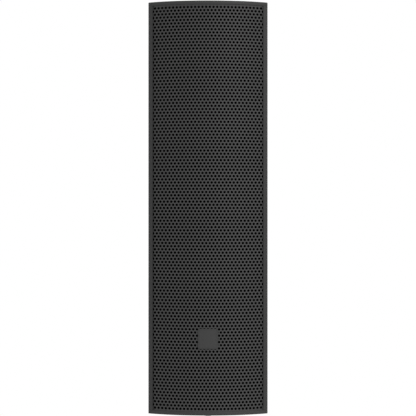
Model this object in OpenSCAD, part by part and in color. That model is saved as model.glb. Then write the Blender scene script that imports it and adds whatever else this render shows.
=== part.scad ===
// Column loudspeaker: an extruded cabinet with a curved perforated front, five full-range
// drivers on one baffle, and a sealed terminal panel with a cable gland on the back.
// X is to the right, Y runs from front to back and Z is up. The origin is the middle of the
// four mounting inserts, on the flat back face of the cabinet.

/* [Cabinet] */
// Overall height, over both end caps
body_h = 507; // [490:1:640]
// Overall width
body_w = 147; // [140:1:178]
// Depth from the crown of the front to the flat back
body_d = 134; // [128:1:162]
// Radius of the curved front, seen from above
front_r = 111; // [104:1:150]
// Width of the flat back
back_w = 90; // [90:1:110]
// Depth over which the sides taper in to the flat back
taper_d = 46; // [30:1:56]
// Wall of the extrusion
wall = 3; // [2.5:0.1:3.6]
// Thickness of an end cap
cap_t = 4.5; // [4:0.1:6]

/* [Front] */
// Thickness of the rim that laps over the grille
lip_t = 1.2; // [1:0.1:1.6]
// Width of the rim on each side of the grille, seen from the front
rim_w = 5.35; // [4.8:0.05:6.5]
// Depth of the slot that holds each long edge of the grille
slot_in = 2.7; // [2:0.1:3.2]
// Depth of the groove in each cap that holds the end of the grille
groove_in = 2.2; // [1.5:0.1:2.6]
// Thickness of the grille sheet
grille_t = 1.2; // [0.8:0.1:1.6]
// Thickness of the cloth behind the grille
cloth_t = 1.5; // [1:0.1:2.5]
// Side of the square badge
badge_s = 24.5; // [18:0.5:30]
// Thickness of the badge
badge_t = 1.1; // [0.8:0.1:1.2]
// Height of the middle of the badge above the bottom of the cabinet
badge_up = 93.6; // [60:0.1:200]

/* [Baffle and drivers] */
// Thickness of the baffle
baffle_t = 5; // [4:0.5:8]
// Distance from the corner of the curved front back to the baffle
baffle_back = 6; // [5:0.5:10]
// Distance between two drivers
driver_pitch = 96; // [92:0.5:99]
// Radius of a driver's mounting flange
flange_r = 45; // [43:0.5:45.5]
// Radius of the opening in the baffle
cutout_r = 38; // [37.5:0.1:38.5]
// Radius of the circle that a driver's screws lie on
screw_ring_r = 41.3; // [41:0.1:42]
// Radius of the voice coil's former, inside
former_r = 12.5; // [11:0.5:13]
// Radius of the cone at its outer edge
cone_r = 31.5; // [30:0.5:32]
// Thickness of the gap beside the voice coil, inside and outside
coil_gap = 0.5; // [0.4:0.05:0.8]
// Radius of the magnet
magnet_r = 35; // [32:0.5:37]
// Thickness of the magnet
magnet_t = 12; // [8:0.5:14]

/* [Back] */
// Distance between the mounting inserts, side to side
insert_x = 50; // [40:1:60]
// Distance between the mounting inserts, up and down
insert_z = 120; // [80:1:140]
// Bore of a mounting insert
insert_bore = 5; // [4:0.1:6]
// Width of the terminal panel
panel_w = 88; // [86:0.5:89]
// Height of the terminal panel
panel_h = 146; // [140:1:170]
// Thickness of the terminal panel
panel_t = 3; // [2:0.5:4]
// Width of the terminal cover, without its ears
cover_w = 60; // [52:1:61]
// Height of the terminal cover
cover_h = 72; // [60:1:76]
// Depth of the terminal cover
cover_d = 28; // [26:1:34]
// Wall of the terminal cover
cover_wall = 2.5; // [2:0.1:3]
// Bore of the cable seal in the gland
cable_d = 6.5; // [4:0.1:6.6]
// Diameter of the selector knob
knob_d = 24; // [20:0.5:28]
// Height of the selector knob
knob_h = 15; // [12:0.5:18]
// Diameter of the selector shaft
shaft_d = 6; // [5:0.5:6.5]

/* [Hidden] */
$fn = 96;

DRIVERS = [1, 2, 3, 4, 5];
SIDES = [-1, 1];
fit = 0.1;          // gap round a screw, pin or pressed piece
slide_fit = 0.15;   // gap on each side of the grille and the cloth in their slot
eps = 0.01;         // overrun of a cut past a face
over = 1;           // overrun of a cut that ends in the open
body_steps = 256;   // sides of the cabinet's curves
far = 400;          // longer than anything that it cuts

// Outline of the cabinet
half_w = body_w / 2;
half_h = body_h / 2;
arc_y = front_r - body_d;
corner_y = arc_y - sqrt(front_r * front_r - half_w * half_w);
taper_l = norm([taper_d, half_w - back_w / 2]);
taper_nx = taper_d / taper_l;
taper_ny = (half_w - back_w / 2) / taper_l;
taper_c = taper_nx * back_w / 2;
body_end = half_h - cap_t;

// The grille, the cloth and their slot
grille_r = front_r - lip_t;
cloth_r = grille_r - grille_t - slide_fit;
slot_out_r = grille_r + slide_fit;
slot_in_r = cloth_r - cloth_t - slide_fit;
badge_corner = 1.5;
window_x = half_w - rim_w;
slot_x = window_x + slot_in;
sheet_gap = 0.3;
sheet_x = slot_x - sheet_gap;
groove_gap = 0.2;
sheet_z = body_end + groove_in - groove_gap;

// The baffle and the ribs that hold it
baffle_y = corner_y + baffle_back;
baffle_gap = 0.1;
rib_w = 6.5;
rib_t = 3;
rib_y = baffle_y + baffle_t + 2 * baffle_gap;
block_w = wall + rib_w;
baffle_play = 0.3;
baffle_x = half_w - wall - baffle_play;
baffle_short = 0.2;
baffle_end = body_end - baffle_short;

// Screw ports for the caps, as [x, y] on the right side
port_r = 4.3;
cap_screw_d = 4;
cap_head_r = 3.8;
cap_head_t = 2.2;
cap_screw_l = 16;
cap_socket = 2.5;
cap_head_sink = 0.2;
port_in = 3.3;
port_past_rib = 2.6;
back_port_in = 1.8;
back_port_up = 3.8;
ports = [[half_w - wall - port_in, rib_y + rib_t + port_past_rib],
    [inset_back_x(wall) - back_port_in, -wall - back_port_up]];
tongue_t = 2.6;
tongue_h = 6;
tongue_play = 0.3;
tongue_past_port = 4;
tongue_to_taper = 8.225;
tongue_y = ports[0][1] + port_r + tongue_past_port;
tongue_l = inset_side_y(wall) - tongue_to_taper - tongue_y;

// Cord gasket in each cap
seal_from = 0.8;
seal_to = 2.2;
seal_t = 1;

// A driver, along its own axis with its front up and the baffle's face at 0
gasket_t = 1;
flange_t = 2;
face_z = gasket_t + flange_t;
cone_lip_t = 0.8;
cone_lip_w = 2;
neck_z = -11;
shelf_z = -13;
shelf_in = 26.5;
shelf_out = 31.5;
bowl_r = 28;
plate_z = -23.5;
skin = 1.5;
plate_t = 5;
plate_r = 28;
former_t = 0.3;
winding_t = 0.5;
winding_l = 9;
pole_r = former_r - coil_gap;
gap_r = former_r + former_t + winding_t + coil_gap;
vent_r = 4;
roll_r = 2.4;
roll_t = 0.5;
roll_x = cone_r + roll_r;
rubber_t = 0.5;
window_count = 6;
tab_l = 4;
tab_w = 14;
tab_root = 2;
seat_w = 2.6;
cutout_gap = 1;
neck_drop = 1;
plate_lap = 1;
window_w = 20;
window_low = 3;
window_high = 2;
bowl_window_w = 14;
bowl_land = 1;
gasket_in = 0.5;
magnet_gap = 2.5;
roll_foot = 1.6;
glue = 0.05;            // gap that is filled with glue
former_rise = 1;
driver_screw_d = 3.3;
driver_screw_l = 9;
driver_head_r = 3;
driver_head_t = 2;
driver_socket = 2;

// A button-head screw's shape, as shares of its head's size
head_rim = 0.55;
head_top = 0.62;
socket_floor = 0.35;

// The terminal panel, its cover, the gland and the selector
panel_gasket_t = 0.8;
panel_y = panel_gasket_t;
panel_back = panel_y + panel_t;
panel_up = 7;
panel_z0 = -half_h + panel_up;
panel_z1 = panel_z0 + panel_h;
opening_x = 34;
opening_in = 8;
panel_screw_x = 40.5;
panel_screw_d = 3;
panel_screw_l = 7.8;
panel_screw_in = 5;
panel_pilot = 4.2;
panel_corner = 4;
panel_seal_in = 1;
small_head_r = 2.7;
small_head_t = 1.8;
small_socket = 2;
cover_y = panel_back + panel_gasket_t;
cover_up = 0.5;
cover_z0 = panel_z0 + cover_up;
cover_z1 = cover_z0 + cover_h;
cover_slope = 6;
slope_share = 0.4;      // how much shorter the inner slope is, per millimetre of wall
cover_screw_short = 0.4;
ear_w = 6.5;
ear_t = 3;
ear_hole_out = 3.4;
ear_x = cover_w / 2 + ear_hole_out;
ear_in = 10;
gland_y = cover_y + cover_d / 2;
gland_neck_d = 12;
gland_hex = 15;
gland_flange_t = 6;
gland_stem_d = 10.8;
gland_stem_l = 8;
gland_nut_from = 6.6;
gland_nut_grip = 9.4;
gland_total = 23;
gland_mouth_d = 7;
mouth_lip = 0.8;
dome_step = 9;          // degrees between two steps of the dome
neck_past = 2;
stem_wall = 1;
cable_room = 1.2;
seal_seat = 2;
seal_room = 0.45;
seal_ring_l = 10;
locknut_hex = 17;
locknut_t = 4;
knob_down = 36;
knob_z = panel_z1 - knob_down;
bush_d = 9;
bush_l = 4.4;
bush_nut_hex = 12;
bush_nut_t = 2.4;
switch_s = 28;
switch_d = 20;
knob_gap = 0.5;
knob_y = panel_back + knob_gap;
knob_roof = 4;
knob_flutes = 12;
knob_edge = 1;
knob_hollow_r = 8;
bush_room = 0.6;
flute_r = 1.8;
flute_out = 0.8;
pointer_w = 1.2;
pointer_deep = 0.8;
pointer_from = 2;
shaft_in = 6;
shaft_gap = 0.06;
press_gap = 0.03;
block_x = 20;
block_up = 46;
block_z = cover_z0 + block_up;
block_h = 12;
block_d = 14;
ways = 4;
way_pitch = 9;
way_r = 2.3;
way_depth = 6;
wire_in = 5;
wire_d = 3.6;
wire_depth = 6;
clamp_t = 3.5;
slot_w = 0.8;
slot_depth = 1;
tail_in = 2;
tail_h = 6;
tail_l = 4;

// The mounting inserts
insert_r = 4.5;
insert_flange_r = 6.5;
insert_flange_t = 1.5;
insert_l = 16;
insert_end = 2;

// The transformer and the filter board, inside against the back wall
core_w = 48;
core_d = 38;
core_t = 20;
leg_w = 16;
yoke_w = 8;
core_gap = 1;
core_y = -wall - core_d - core_gap;
coil_side = 8;
bobbin_gap = 0.3;
bobbin_end = 0.4;
strap_t = 1.2;
strap_in = 1;
foot_x = 36;
foot_screw_x = 31;
foot_screw_r = 1.95;
foot_screw_l = 10.8;
foot_screw_from = 0.2;
foot_head_r = 3.95;
foot_head_from = 0.05;
foot_hole_r = 2.15;
foot_socket = 2.5;
foot_socket_deep = 1.3;
foot_nut = 7;
foot_nut_t = 3.2;
sink_r = 4.2;
sink_d = 2.1;
board_w = 60;
board_h = 70;
board_t = 1.6;
board_z = 130;
post_l = 8.4;
post_x = 25;
post_z = 30;
post_r = 3;
post_hole_r = 1.6;
stud_r = 1.5;
stud_head_r = 2.8;
stud_head_t = 2;
stud_socket = 2;
stud_socket_deep = 1.2;
// Parts on the board: distance right of its middle and below it, then width, rise and length
FILM = [-22, 20, 20, 16, 12];
RESISTOR = [4, 20, 22, 8, 8];
SMALL_SOCKET = [-20, 34, 12, 7, 5];
LARGE_SOCKET = [-2, 34, 22, 7, 5];
choke_z = 12;
choke_out = 14;
choke_in = 6;
choke_h = 14;
board_y = -wall - post_l - board_t;

// The leads inside, as [x, y, z] from one end to the other
lead_d = 2.4;
lead_end = 0.1;
driver_lead_d = 2;
loom_step = 2.8;
loom_x = -43;
loom_y = -44;
tag_y = baffle_y + baffle_gap - shelf_z + skin + driver_lead_d / 2 + lead_end;
tag_x = -33;
coil_end = core_t / 2 + coil_side;
socket_z = board_z - SMALL_SOCKET[1];
socket_pitch = 4;
BLOCK_TO_TAP = [
    [-12, panel_y - 4 - lead_end, block_z], [-12, -14, block_z], [-14, -24, block_z + 14],
    [-12, -26, knob_z - 32], [-9, -14, knob_z - 24], [-9, -14, knob_z - switch_s / 2 - lead_end]];
TAP_TO_CORE = [
    [8, panel_y - switch_d - lead_end, knob_z + 8], [8, -26, knob_z + 8], [10, -34, knob_z + 50],
    [12, -34, -54], [12, -28, -34], [12, -25, -26], [12, -24, -coil_end - lead_end]];
CORE_TO_BOARD = [
    [-12, -24, coil_end + lead_end], [-12, -25, coil_end + 10], [-14, -30, 50],
    [-14, -15, socket_z - 24], [-14, board_y - 3.5, socket_z - 9], [-14, board_y - 3.5, socket_z - lead_end]];

// Inset outline of the sides and the back, at distance d inside the outer face
function inset_side_y(d) = (taper_c - d - taper_nx * (half_w - d)) / taper_ny;
function inset_back_x(d) = (taper_c - d + taper_ny * d) / taper_nx;
function rear_points(d, front) = [
    [-(half_w - d), front], [half_w - d, front], [half_w - d, inset_side_y(d)],
    [inset_back_x(d), -d], [-inset_back_x(d), -d], [-(half_w - d), inset_side_y(d)]];

function driver_z(n) = (n - 3) * driver_pitch;

module body_outline(d) {
    intersection() {
        translate([0, arc_y]) circle(r = front_r - d, $fn = body_steps);
        polygon(rear_points(d, -body_d - over));
    }
}

// Part of a ring about the axis of the curved front, within x of the middle
module front_ring(outer, inner, x) {
    intersection() {
        translate([0, arc_y]) difference() {
            circle(r = outer, $fn = body_steps);
            circle(r = inner, $fn = body_steps);
        }
        translate([-x, -body_d - over]) square([2 * x, body_d / 2]);
    }
}

module chamfered_rect(w, h, c) {
    polygon([[-w / 2 + c, -h / 2], [w / 2 - c, -h / 2], [w / 2, -h / 2 + c], [w / 2, h / 2 - c],
        [w / 2 - c, h / 2], [-w / 2 + c, h / 2], [-w / 2, h / 2 - c], [-w / 2, -h / 2 + c]]);
}

// A cylinder that starts at the point given and runs back along +Y
module along_y(x, y, z, r, l) {
    translate([x, y, z]) rotate([-90, 0, 0]) cylinder(r = r, h = l);
}

module hex_along_y(x, y, z, across, l) {
    translate([x, y, z]) rotate([-90, 0, 0]) cylinder(d = across / cos(30), h = l, $fn = 6);
}

// Front faces forward: the axis that was up points to -Y
module at_driver(n) {
    translate([0, baffle_y + baffle_gap, driver_z(n)]) rotate([90, 0, 0]) children();
}

module at_driver_screws() {
    for (a = [45 : 90 : 315]) rotate(a) translate([screw_ring_r, 0, 0]) children();
}

module at_ports() {
    for (s = SIDES, p = ports) translate([s * p[0], p[1], 0]) children();
}

module extrusion_section() {
    difference() {
        union() {
            difference() {
                body_outline(0);
                body_outline(wall);
            }
            intersection() {
                body_outline(0);
                for (s = SIDES) translate([s * (half_w - block_w / 2) - block_w / 2, -body_d])
                    square([block_w, body_d + baffle_y]);
            }
            for (s = SIDES) translate([s * (half_w - wall / 2 - rib_w / 2) - (rib_w + wall) / 2, rib_y])
                square([rib_w + wall, rib_t]);
            intersection() {
                body_outline(0);
                at_ports() circle(r = port_r);
            }
        }
        front_ring(slot_out_r, slot_in_r, slot_x);
        translate([-window_x, -body_d - over]) difference() {
            square([2 * window_x, body_d / 2]);
            translate([window_x, arc_y + body_d + over])
                circle(r = (slot_out_r + slot_in_r) / 2, $fn = body_steps);
        }
        translate([-(half_w - block_w), -body_d - over])
            square([2 * (half_w - block_w), body_d + over + baffle_y]);
        at_ports() circle(d = cap_screw_d + fit);
    }
}

module cabinet_extrusion() {
    color([0.13, 0.13, 0.135]) difference() {
        translate([0, 0, -body_end]) linear_extrude(2 * body_end) extrusion_section();
        translate([-opening_x, -wall - port_r, panel_z0 + opening_in])
            cube([2 * opening_x, far, panel_h - 2 * opening_in]);
        for (x = SIDES * insert_x / 2, z = SIDES * insert_z / 2)
            along_y(x, -wall - eps, z, insert_r + fit / 2, wall + over);
        at_panel_screws() along_y(0, -panel_pilot, 0, (panel_screw_d + fit) / 2, panel_pilot + over);
        for (s = SIDES) translate([s * foot_screw_x, 0, 0]) {
            along_y(0, -wall - over, 0, foot_hole_r, wall + 2 * over);
            translate([0, eps, 0]) rotate([90, 0, 0]) cylinder(r1 = sink_r, r2 = sink_r - sink_d, h = sink_d);
        }
    }
}

// The cap as it sits on the top end: its inner face is at body_end
module cap() {
    difference() {
        union() {
            translate([0, 0, body_end]) linear_extrude(cap_t) body_outline(0);
            for (s = SIDES)
                translate([s * (half_w - wall - tongue_play - tongue_t / 2) - tongue_t / 2, tongue_y,
                    body_end - tongue_h])
                cube([tongue_t, tongue_l, tongue_h + eps]);
        }
        translate([0, 0, body_end - eps]) linear_extrude(groove_in + eps)
            front_ring(slot_out_r, slot_in_r, slot_x);
        translate([0, 0, body_end - eps]) linear_extrude(seal_t + fit / 2 + eps)
            seal_section(fit / 2);
        at_ports() {
            translate([0, 0, body_end - over]) cylinder(d = cap_screw_d + 3 * fit, h = cap_t + 2 * over);
            translate([0, 0, half_h - cap_head_t - cap_head_sink])
                cylinder(r = cap_head_r + 2 * fit, h = cap_t);
        }
    }
}

module seal_section(grow) {
    front = baffle_y + baffle_t / 2 - (seal_to - seal_from);
    difference() {
        polygon(rear_points(seal_from - grow, front + seal_from - grow));
        polygon(rear_points(seal_to + grow, front + seal_to + grow));
    }
}

module top_cap() {
    color([0.14, 0.14, 0.145]) cap();
}

module bottom_cap() {
    color([0.14, 0.14, 0.145]) mirror([0, 0, 1]) cap();
}

module cap_gaskets() {
    color([0.05, 0.05, 0.05]) for (s = [0, 1]) mirror([0, 0, s])
        translate([0, 0, body_end]) linear_extrude(seal_t) seal_section(0);
}

// A socket button-head screw, with its head's seat at 0 and its shank below
module button_screw(d, head_r, head_t, l, socket) {
    difference() {
        union() {
            cylinder(r = head_r, h = head_t * head_rim);
            translate([0, 0, head_t * head_rim])
                cylinder(r1 = head_r, r2 = head_r * head_top, h = head_t * (1 - head_rim));
            translate([0, 0, -l]) cylinder(d = d, h = l + eps);
        }
        translate([0, 0, head_t * socket_floor]) cylinder(d = socket / cos(30), h = head_t, $fn = 6);
    }
}

module cap_screws() {
    color([0.2, 0.2, 0.21]) for (m = [0, 1]) mirror([0, 0, m]) at_ports()
        translate([0, 0, half_h - cap_head_t - cap_head_sink])
            button_screw(cap_screw_d, cap_head_r, cap_head_t, cap_screw_l, cap_socket);
}

module grille() {
    color([0.15, 0.15, 0.155]) translate([0, 0, -sheet_z]) linear_extrude(2 * sheet_z)
        front_ring(grille_r, grille_r - grille_t, sheet_x);
}

module grille_cloth() {
    color([0.02, 0.02, 0.02]) translate([0, 0, -sheet_z]) linear_extrude(2 * sheet_z)
        front_ring(cloth_r, cloth_r - cloth_t, sheet_x - sheet_gap);
}

module badge() {
    color([0.16, 0.16, 0.165]) intersection() {
        translate([0, 0, -half_h]) linear_extrude(2 * badge_up)
            front_ring(grille_r + fit / 2 + badge_t, grille_r + fit / 2, badge_s);
        translate([0, -body_d / 2, badge_up - half_h]) rotate([90, 0, 0])
            linear_extrude(body_d) chamfered_rect(badge_s, badge_s, badge_corner);
    }
}

module baffle() {
    color([0.1, 0.1, 0.1]) difference() {
        translate([-baffle_x, baffle_y + baffle_gap, -baffle_end]) cube([2 * baffle_x, baffle_t, 2 * baffle_end]);
        for (n = DRIVERS) at_driver(n) {
            translate([0, 0, -baffle_t - over]) cylinder(r = cutout_r, h = baffle_t + 2 * over);
            at_driver_screws() translate([0, 0, -baffle_t - over])
                cylinder(d = driver_screw_d + fit, h = baffle_t + 2 * over);
        }
    }
}

// Basket: flange, open cone, shelf for the spider, and a bowl that carries the motor
module basket() {
    difference() {
        rotate_extrude() polygon([
            [cutout_r - seat_w, face_z], [flange_r, face_z], [flange_r, gasket_t],
            [cutout_r - cutout_gap, gasket_t],
            [shelf_out, shelf_z], [shelf_out, shelf_z - skin], [bowl_r, shelf_z - skin], [bowl_r, plate_z],
            [gap_r + plate_lap, plate_z], [gap_r + plate_lap, plate_z + skin],
            [shelf_in, plate_z + skin], [shelf_in, shelf_z],
            [shelf_out - skin, shelf_z], [cutout_r - seat_w, gasket_t - neck_drop]]);
        for (i = [1 : window_count]) rotate((i - 1 / 2) * 360 / window_count) {
            translate([shelf_in, -window_w / 2, shelf_z + window_low])
                cube([flange_r, window_w, -shelf_z - window_low - window_high]);
            translate([shelf_in - over, -bowl_window_w / 2, plate_z + skin + bowl_land])
                cube([bowl_r - shelf_in + 2 * over, bowl_window_w,
                    shelf_z - plate_z - 2 * (skin + bowl_land)]);
        }
        at_driver_screws() translate([0, 0, gasket_t - over])
            cylinder(d = driver_screw_d + 5 * fit, h = flange_t + 2 * over);
    }
    // Strip that carries the two solder tags
    translate([-shelf_out - tab_l, -tab_w / 2, shelf_z - skin]) cube([tab_l + tab_root, tab_w, skin]);
}

module baskets() {
    color([0.17, 0.17, 0.18]) for (n = DRIVERS) at_driver(n) basket();
}

module driver_gaskets() {
    color([0.06, 0.06, 0.06]) for (n = DRIVERS) at_driver(n) difference() {
        cylinder(r = flange_r - gasket_in, h = gasket_t);
        translate([0, 0, -over]) cylinder(r = cutout_r, h = gasket_t + 2 * over);
        at_driver_screws() translate([0, 0, -over])
            cylinder(d = driver_screw_d + fit, h = gasket_t + 2 * over);
    }
}

module driver_screws() {
    color([0.25, 0.25, 0.26]) for (n = DRIVERS) at_driver(n) at_driver_screws()
        translate([0, 0, face_z]) button_screw(driver_screw_d, driver_head_r, driver_head_t,
            driver_screw_l, driver_socket);
}

module top_plates() {
    color([0.7, 0.68, 0.6]) for (n = DRIVERS) at_driver(n)
        translate([0, 0, plate_z - plate_t]) rotate_extrude()
            translate([gap_r, 0]) square([plate_r - gap_r, plate_t]);
}

module magnets() {
    color([0.22, 0.22, 0.23]) for (n = DRIVERS) at_driver(n)
        translate([0, 0, plate_z - plate_t - magnet_t]) rotate_extrude()
            translate([gap_r + magnet_gap, 0]) square([magnet_r - gap_r - magnet_gap, magnet_t]);
}

module yokes() {
    yoke_z = plate_z - plate_t - magnet_t;
    color([0.7, 0.68, 0.6]) for (n = DRIVERS) at_driver(n) rotate_extrude() polygon([
        [vent_r, plate_z], [pole_r, plate_z], [pole_r, yoke_z], [plate_r, yoke_z],
        [plate_r, yoke_z - plate_t], [vent_r, yoke_z - plate_t]]);
}

// Rubber half roll between the edge of the cone and the flange
module surround(n) {
    color([0.04, 0.04, 0.04]) at_driver(n) rotate_extrude() {
        difference() {
            translate([roll_x, face_z]) difference() {
                circle(r = roll_r + roll_t);
                circle(r = roll_r);
            }
            translate([roll_x - 2 * roll_r, face_z - 2 * roll_r]) square([4 * roll_r, 2 * roll_r]);
        }
        translate([cone_r - cone_lip_w, face_z]) square([cone_lip_w, roll_t]);
        translate([roll_x + roll_r, face_z]) square([roll_foot, roll_t]);
    }
}

// Corrugated cloth disc that centres the voice coil
module spider(n) {
    inner = former_r + former_t + glue;
    waves = 4;
    wave_h = 0.7;
    steps = 48;
    span = shelf_in - rubber_t - inner;
    wave = [for (i = [0 : steps]) [inner + span * i / steps,
        shelf_z + fit - wave_h * sin(360 * waves * i / steps) * sin(180 * i / steps)]];
    color([0.75, 0.6, 0.25]) at_driver(n) rotate_extrude() union() {
        polygon(concat(wave, [for (i = [steps : -1 : 0]) wave[i] + [0, rubber_t]]));
        translate([inner + span - fit, shelf_z + fit]) square([shelf_out - skin - inner - span, rubber_t]);
    }
}

// Paper cone with a flat lip, and the dust cap glued over the voice coil
module cone(n) {
    r0 = former_r + former_t + glue;
    r1 = cone_r - cone_lip_w;
    z1 = face_z - cone_lip_t;
    steps = 10;
    bend = 0.82;
    flare = [for (i = [0 : steps]) [r0 + (r1 - r0) * i / steps, neck_z + (z1 - neck_z) * pow(i / steps, bend)]];
    cap_r = 16;
    cap_rise = 5.5;
    cap_skin = 0.5;
    cap_in = 0.6;
    cap_z = neck_z + (z1 - neck_z) * pow((cap_r - r0) / (r1 - r0), bend) + cone_lip_t + 2 * fit;
    ball_r = (cap_r * cap_r + cap_rise * cap_rise) / (2 * cap_rise);
    color([0.12, 0.12, 0.12]) at_driver(n) {
        rotate_extrude() polygon(concat(flare, [[cone_r, z1], [cone_r, face_z], [r1, face_z]],
            [for (i = [steps - 1 : -1 : 0]) flare[i] + [0, cone_lip_t]]));
        intersection() {
            translate([0, 0, cap_z + cap_rise - ball_r]) difference() {
                sphere(r = ball_r, $fn = 64);
                sphere(r = ball_r - cap_skin, $fn = 64);
            }
            translate([0, 0, cap_z]) cylinder(r = cap_r - cap_in, h = cap_rise + over);
        }
    }
}

module voice_coil(n) {
    coil_z = plate_z - plate_t / 2 - winding_l / 2;
    color([0.72, 0.42, 0.2]) at_driver(n) rotate_extrude() polygon([
        [former_r, coil_z], [former_r + former_t + winding_t, coil_z],
        [former_r + former_t + winding_t, coil_z + winding_l], [former_r + former_t, coil_z + winding_l],
        [former_r + former_t, neck_z + former_rise], [former_r, neck_z + former_rise]]);
}

module rear_inserts() {
    color([0.75, 0.65, 0.4]) for (x = SIDES * insert_x / 2, z = SIDES * insert_z / 2) difference() {
        union() {
            along_y(x, -insert_l, z, insert_r, insert_l);
            along_y(x, -wall - insert_flange_t, z, insert_flange_r, insert_flange_t);
        }
        along_y(x, -insert_l + insert_end, z, insert_bore / 2, insert_l);
    }
}

module at_panel_screws() {
    for (s = SIDES, k = [0, 0.5, 1])
        translate([s * panel_screw_x, 0, panel_z0 + panel_screw_in + k * (panel_h - 2 * panel_screw_in)])
            children();
}

module at_cover_screws() {
    for (s = SIDES, z = [cover_z0 + ear_in, cover_z1 - ear_in]) translate([s * ear_x, 0, z]) children();
}

// Flat plate in the XZ plane, from y on, over the height of the panel
module panel_plate(y, t, w, h, c) {
    translate([0, y + t, (panel_z0 + panel_z1) / 2]) rotate([90, 0, 0])
        linear_extrude(t) chamfered_rect(w, h, c);
}

module terminal_panel() {
    color([0.12, 0.12, 0.125]) difference() {
        panel_plate(panel_y, panel_t, panel_w, panel_h, panel_corner);
        at_panel_screws() along_y(0, 0, 0, (panel_screw_d + 3 * fit) / 2, panel_back + over);
        at_cover_screws() along_y(0, 0, 0, (panel_screw_d + fit) / 2, panel_back + over);
        along_y(0, 0, knob_z, (bush_d + 2 * fit) / 2, panel_back + over);
        translate([-block_x + tail_in - 2 * fit, 0, block_z - tail_h / 2 - 2 * fit])
            cube([2 * (block_x - tail_in + 2 * fit), panel_back + over, tail_h + 4 * fit]);
    }
}

module terminal_panel_gasket() {
    color([0.05, 0.05, 0.05]) difference() {
        panel_plate(0, panel_gasket_t, panel_w - 2 * panel_seal_in, panel_h - 2 * panel_seal_in,
            panel_corner - panel_seal_in / 2);
        translate([-opening_x, -over, panel_z0 + opening_in])
            cube([2 * opening_x, panel_gasket_t + 2 * over, panel_h - 2 * opening_in]);
        at_panel_screws() along_y(0, -over, 0, (panel_screw_d + 3 * fit) / 2, panel_gasket_t + 2 * over);
    }
}

// Button screws that come in from the back
module rear_screws(y, l) {
    translate([0, y, 0]) rotate([-90, 0, 0])
        button_screw(panel_screw_d, small_head_r, small_head_t, l, small_socket);
}

module terminal_panel_screws() {
    color([0.55, 0.55, 0.56]) at_panel_screws() rear_screws(panel_back, panel_screw_l);
}

// Outline of the cover from above, d inside its outer face
module cover_section(d) {
    w = cover_w / 2 - d;
    y1 = cover_y + cover_d - d;
    slope = cover_slope - d * slope_share;
    polygon([[-w, cover_y], [w, cover_y], [w, y1 - slope], [w - slope, y1],
        [-w + slope, y1], [-w, y1 - slope]]);
}

module terminal_cover() {
    color([0.12, 0.12, 0.125]) difference() {
        union() {
            translate([0, 0, cover_z0]) linear_extrude(cover_h) cover_section(0);
            translate([-cover_w / 2 - ear_w, cover_y, cover_z0]) cube([cover_w + 2 * ear_w, ear_t, cover_h]);
        }
        translate([0, -eps, cover_z0 + cover_wall]) linear_extrude(cover_h - 2 * cover_wall)
            cover_section(cover_wall);
        translate([0, gland_y, cover_z0 - over])
            cylinder(d = gland_neck_d + 2 * fit, h = cover_wall + 2 * over);
        at_cover_screws() along_y(0, cover_y - over, 0, (panel_screw_d + 3 * fit) / 2, ear_t + 2 * over);
    }
}

module terminal_cover_gasket() {
    color([0.05, 0.05, 0.05]) difference() {
        translate([-cover_w / 2 - ear_w + panel_seal_in, panel_back, cover_z0 + panel_seal_in])
            cube([cover_w + 2 * (ear_w - panel_seal_in), panel_gasket_t, cover_h - 2 * panel_seal_in]);
        translate([-cover_w / 2 + cover_wall, panel_back - over, cover_z0 + cover_wall])
            cube([cover_w - 2 * cover_wall, panel_gasket_t + 2 * over, cover_h - 2 * cover_wall]);
        at_cover_screws()
            along_y(0, panel_back - over, 0, (panel_screw_d + 3 * fit) / 2, panel_gasket_t + 2 * over);
    }
}

module terminal_cover_screws() {
    color([0.55, 0.55, 0.56]) at_cover_screws()
        rear_screws(cover_y + ear_t, ear_t + panel_gasket_t + panel_t - cover_screw_short);
}

function way_x(i) = (i - (ways - 1) / 2) * way_pitch;

module terminal_block() {
    color([0.1, 0.35, 0.16]) difference() {
        union() {
            translate([-block_x, panel_back, block_z - block_h / 2]) cube([2 * block_x, block_d, block_h]);
            translate([-block_x + tail_in, panel_y - tail_l, block_z - tail_h / 2])
                cube([2 * (block_x - tail_in), tail_l + panel_t + eps, tail_h]);
        }
        for (i = [0 : ways - 1]) {
            along_y(way_x(i), panel_back + block_d - way_depth, block_z, way_r, way_depth + over);
            translate([way_x(i), panel_back + wire_in, block_z - block_h / 2 - over])
                cylinder(d = wire_d, h = wire_depth + over);
        }
    }
}

module terminal_screws() {
    color([0.8, 0.8, 0.8]) for (i = [0 : ways - 1]) difference() {
        along_y(way_x(i), panel_back + block_d - way_depth, block_z, way_r - fit, clamp_t);
        translate([way_x(i) - slot_w / 2, panel_back + block_d - way_depth + clamp_t - slot_depth,
            block_z - way_r])
            cube([slot_w, slot_depth + over, 2 * way_r]);
    }
}

// Gland, hanging from the bottom of the cover, with its axis along Z
module at_gland() {
    translate([0, gland_y, cover_z0]) mirror([0, 0, 1]) children();
}

module gland_body() {
    color([0.08, 0.08, 0.08]) at_gland() difference() {
        union() {
            cylinder(d = gland_hex / cos(30), h = gland_flange_t, $fn = 6);
            translate([0, 0, -cover_wall - locknut_t - neck_past])
                cylinder(d = gland_neck_d, h = cover_wall + locknut_t + neck_past + over);
            translate([0, 0, gland_flange_t - eps]) cylinder(d = gland_stem_d, h = gland_stem_l + eps);
        }
        translate([0, 0, -gland_total]) cylinder(d = cable_d + cable_room, h = 2 * gland_total);
        translate([0, 0, gland_flange_t + seal_seat])
            cylinder(d = gland_stem_d - 2 * stem_wall, h = gland_stem_l);
    }
}

module gland_seal() {
    from = gland_flange_t + seal_seat + fit / 2;
    color([0.03, 0.03, 0.03]) at_gland() translate([0, 0, from]) difference() {
        cylinder(d = gland_stem_d - 2 * (stem_wall + fit), h = seal_ring_l);
        translate([0, 0, -over]) cylinder(d = cable_d, h = seal_ring_l + 2 * over);
    }
}

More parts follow.
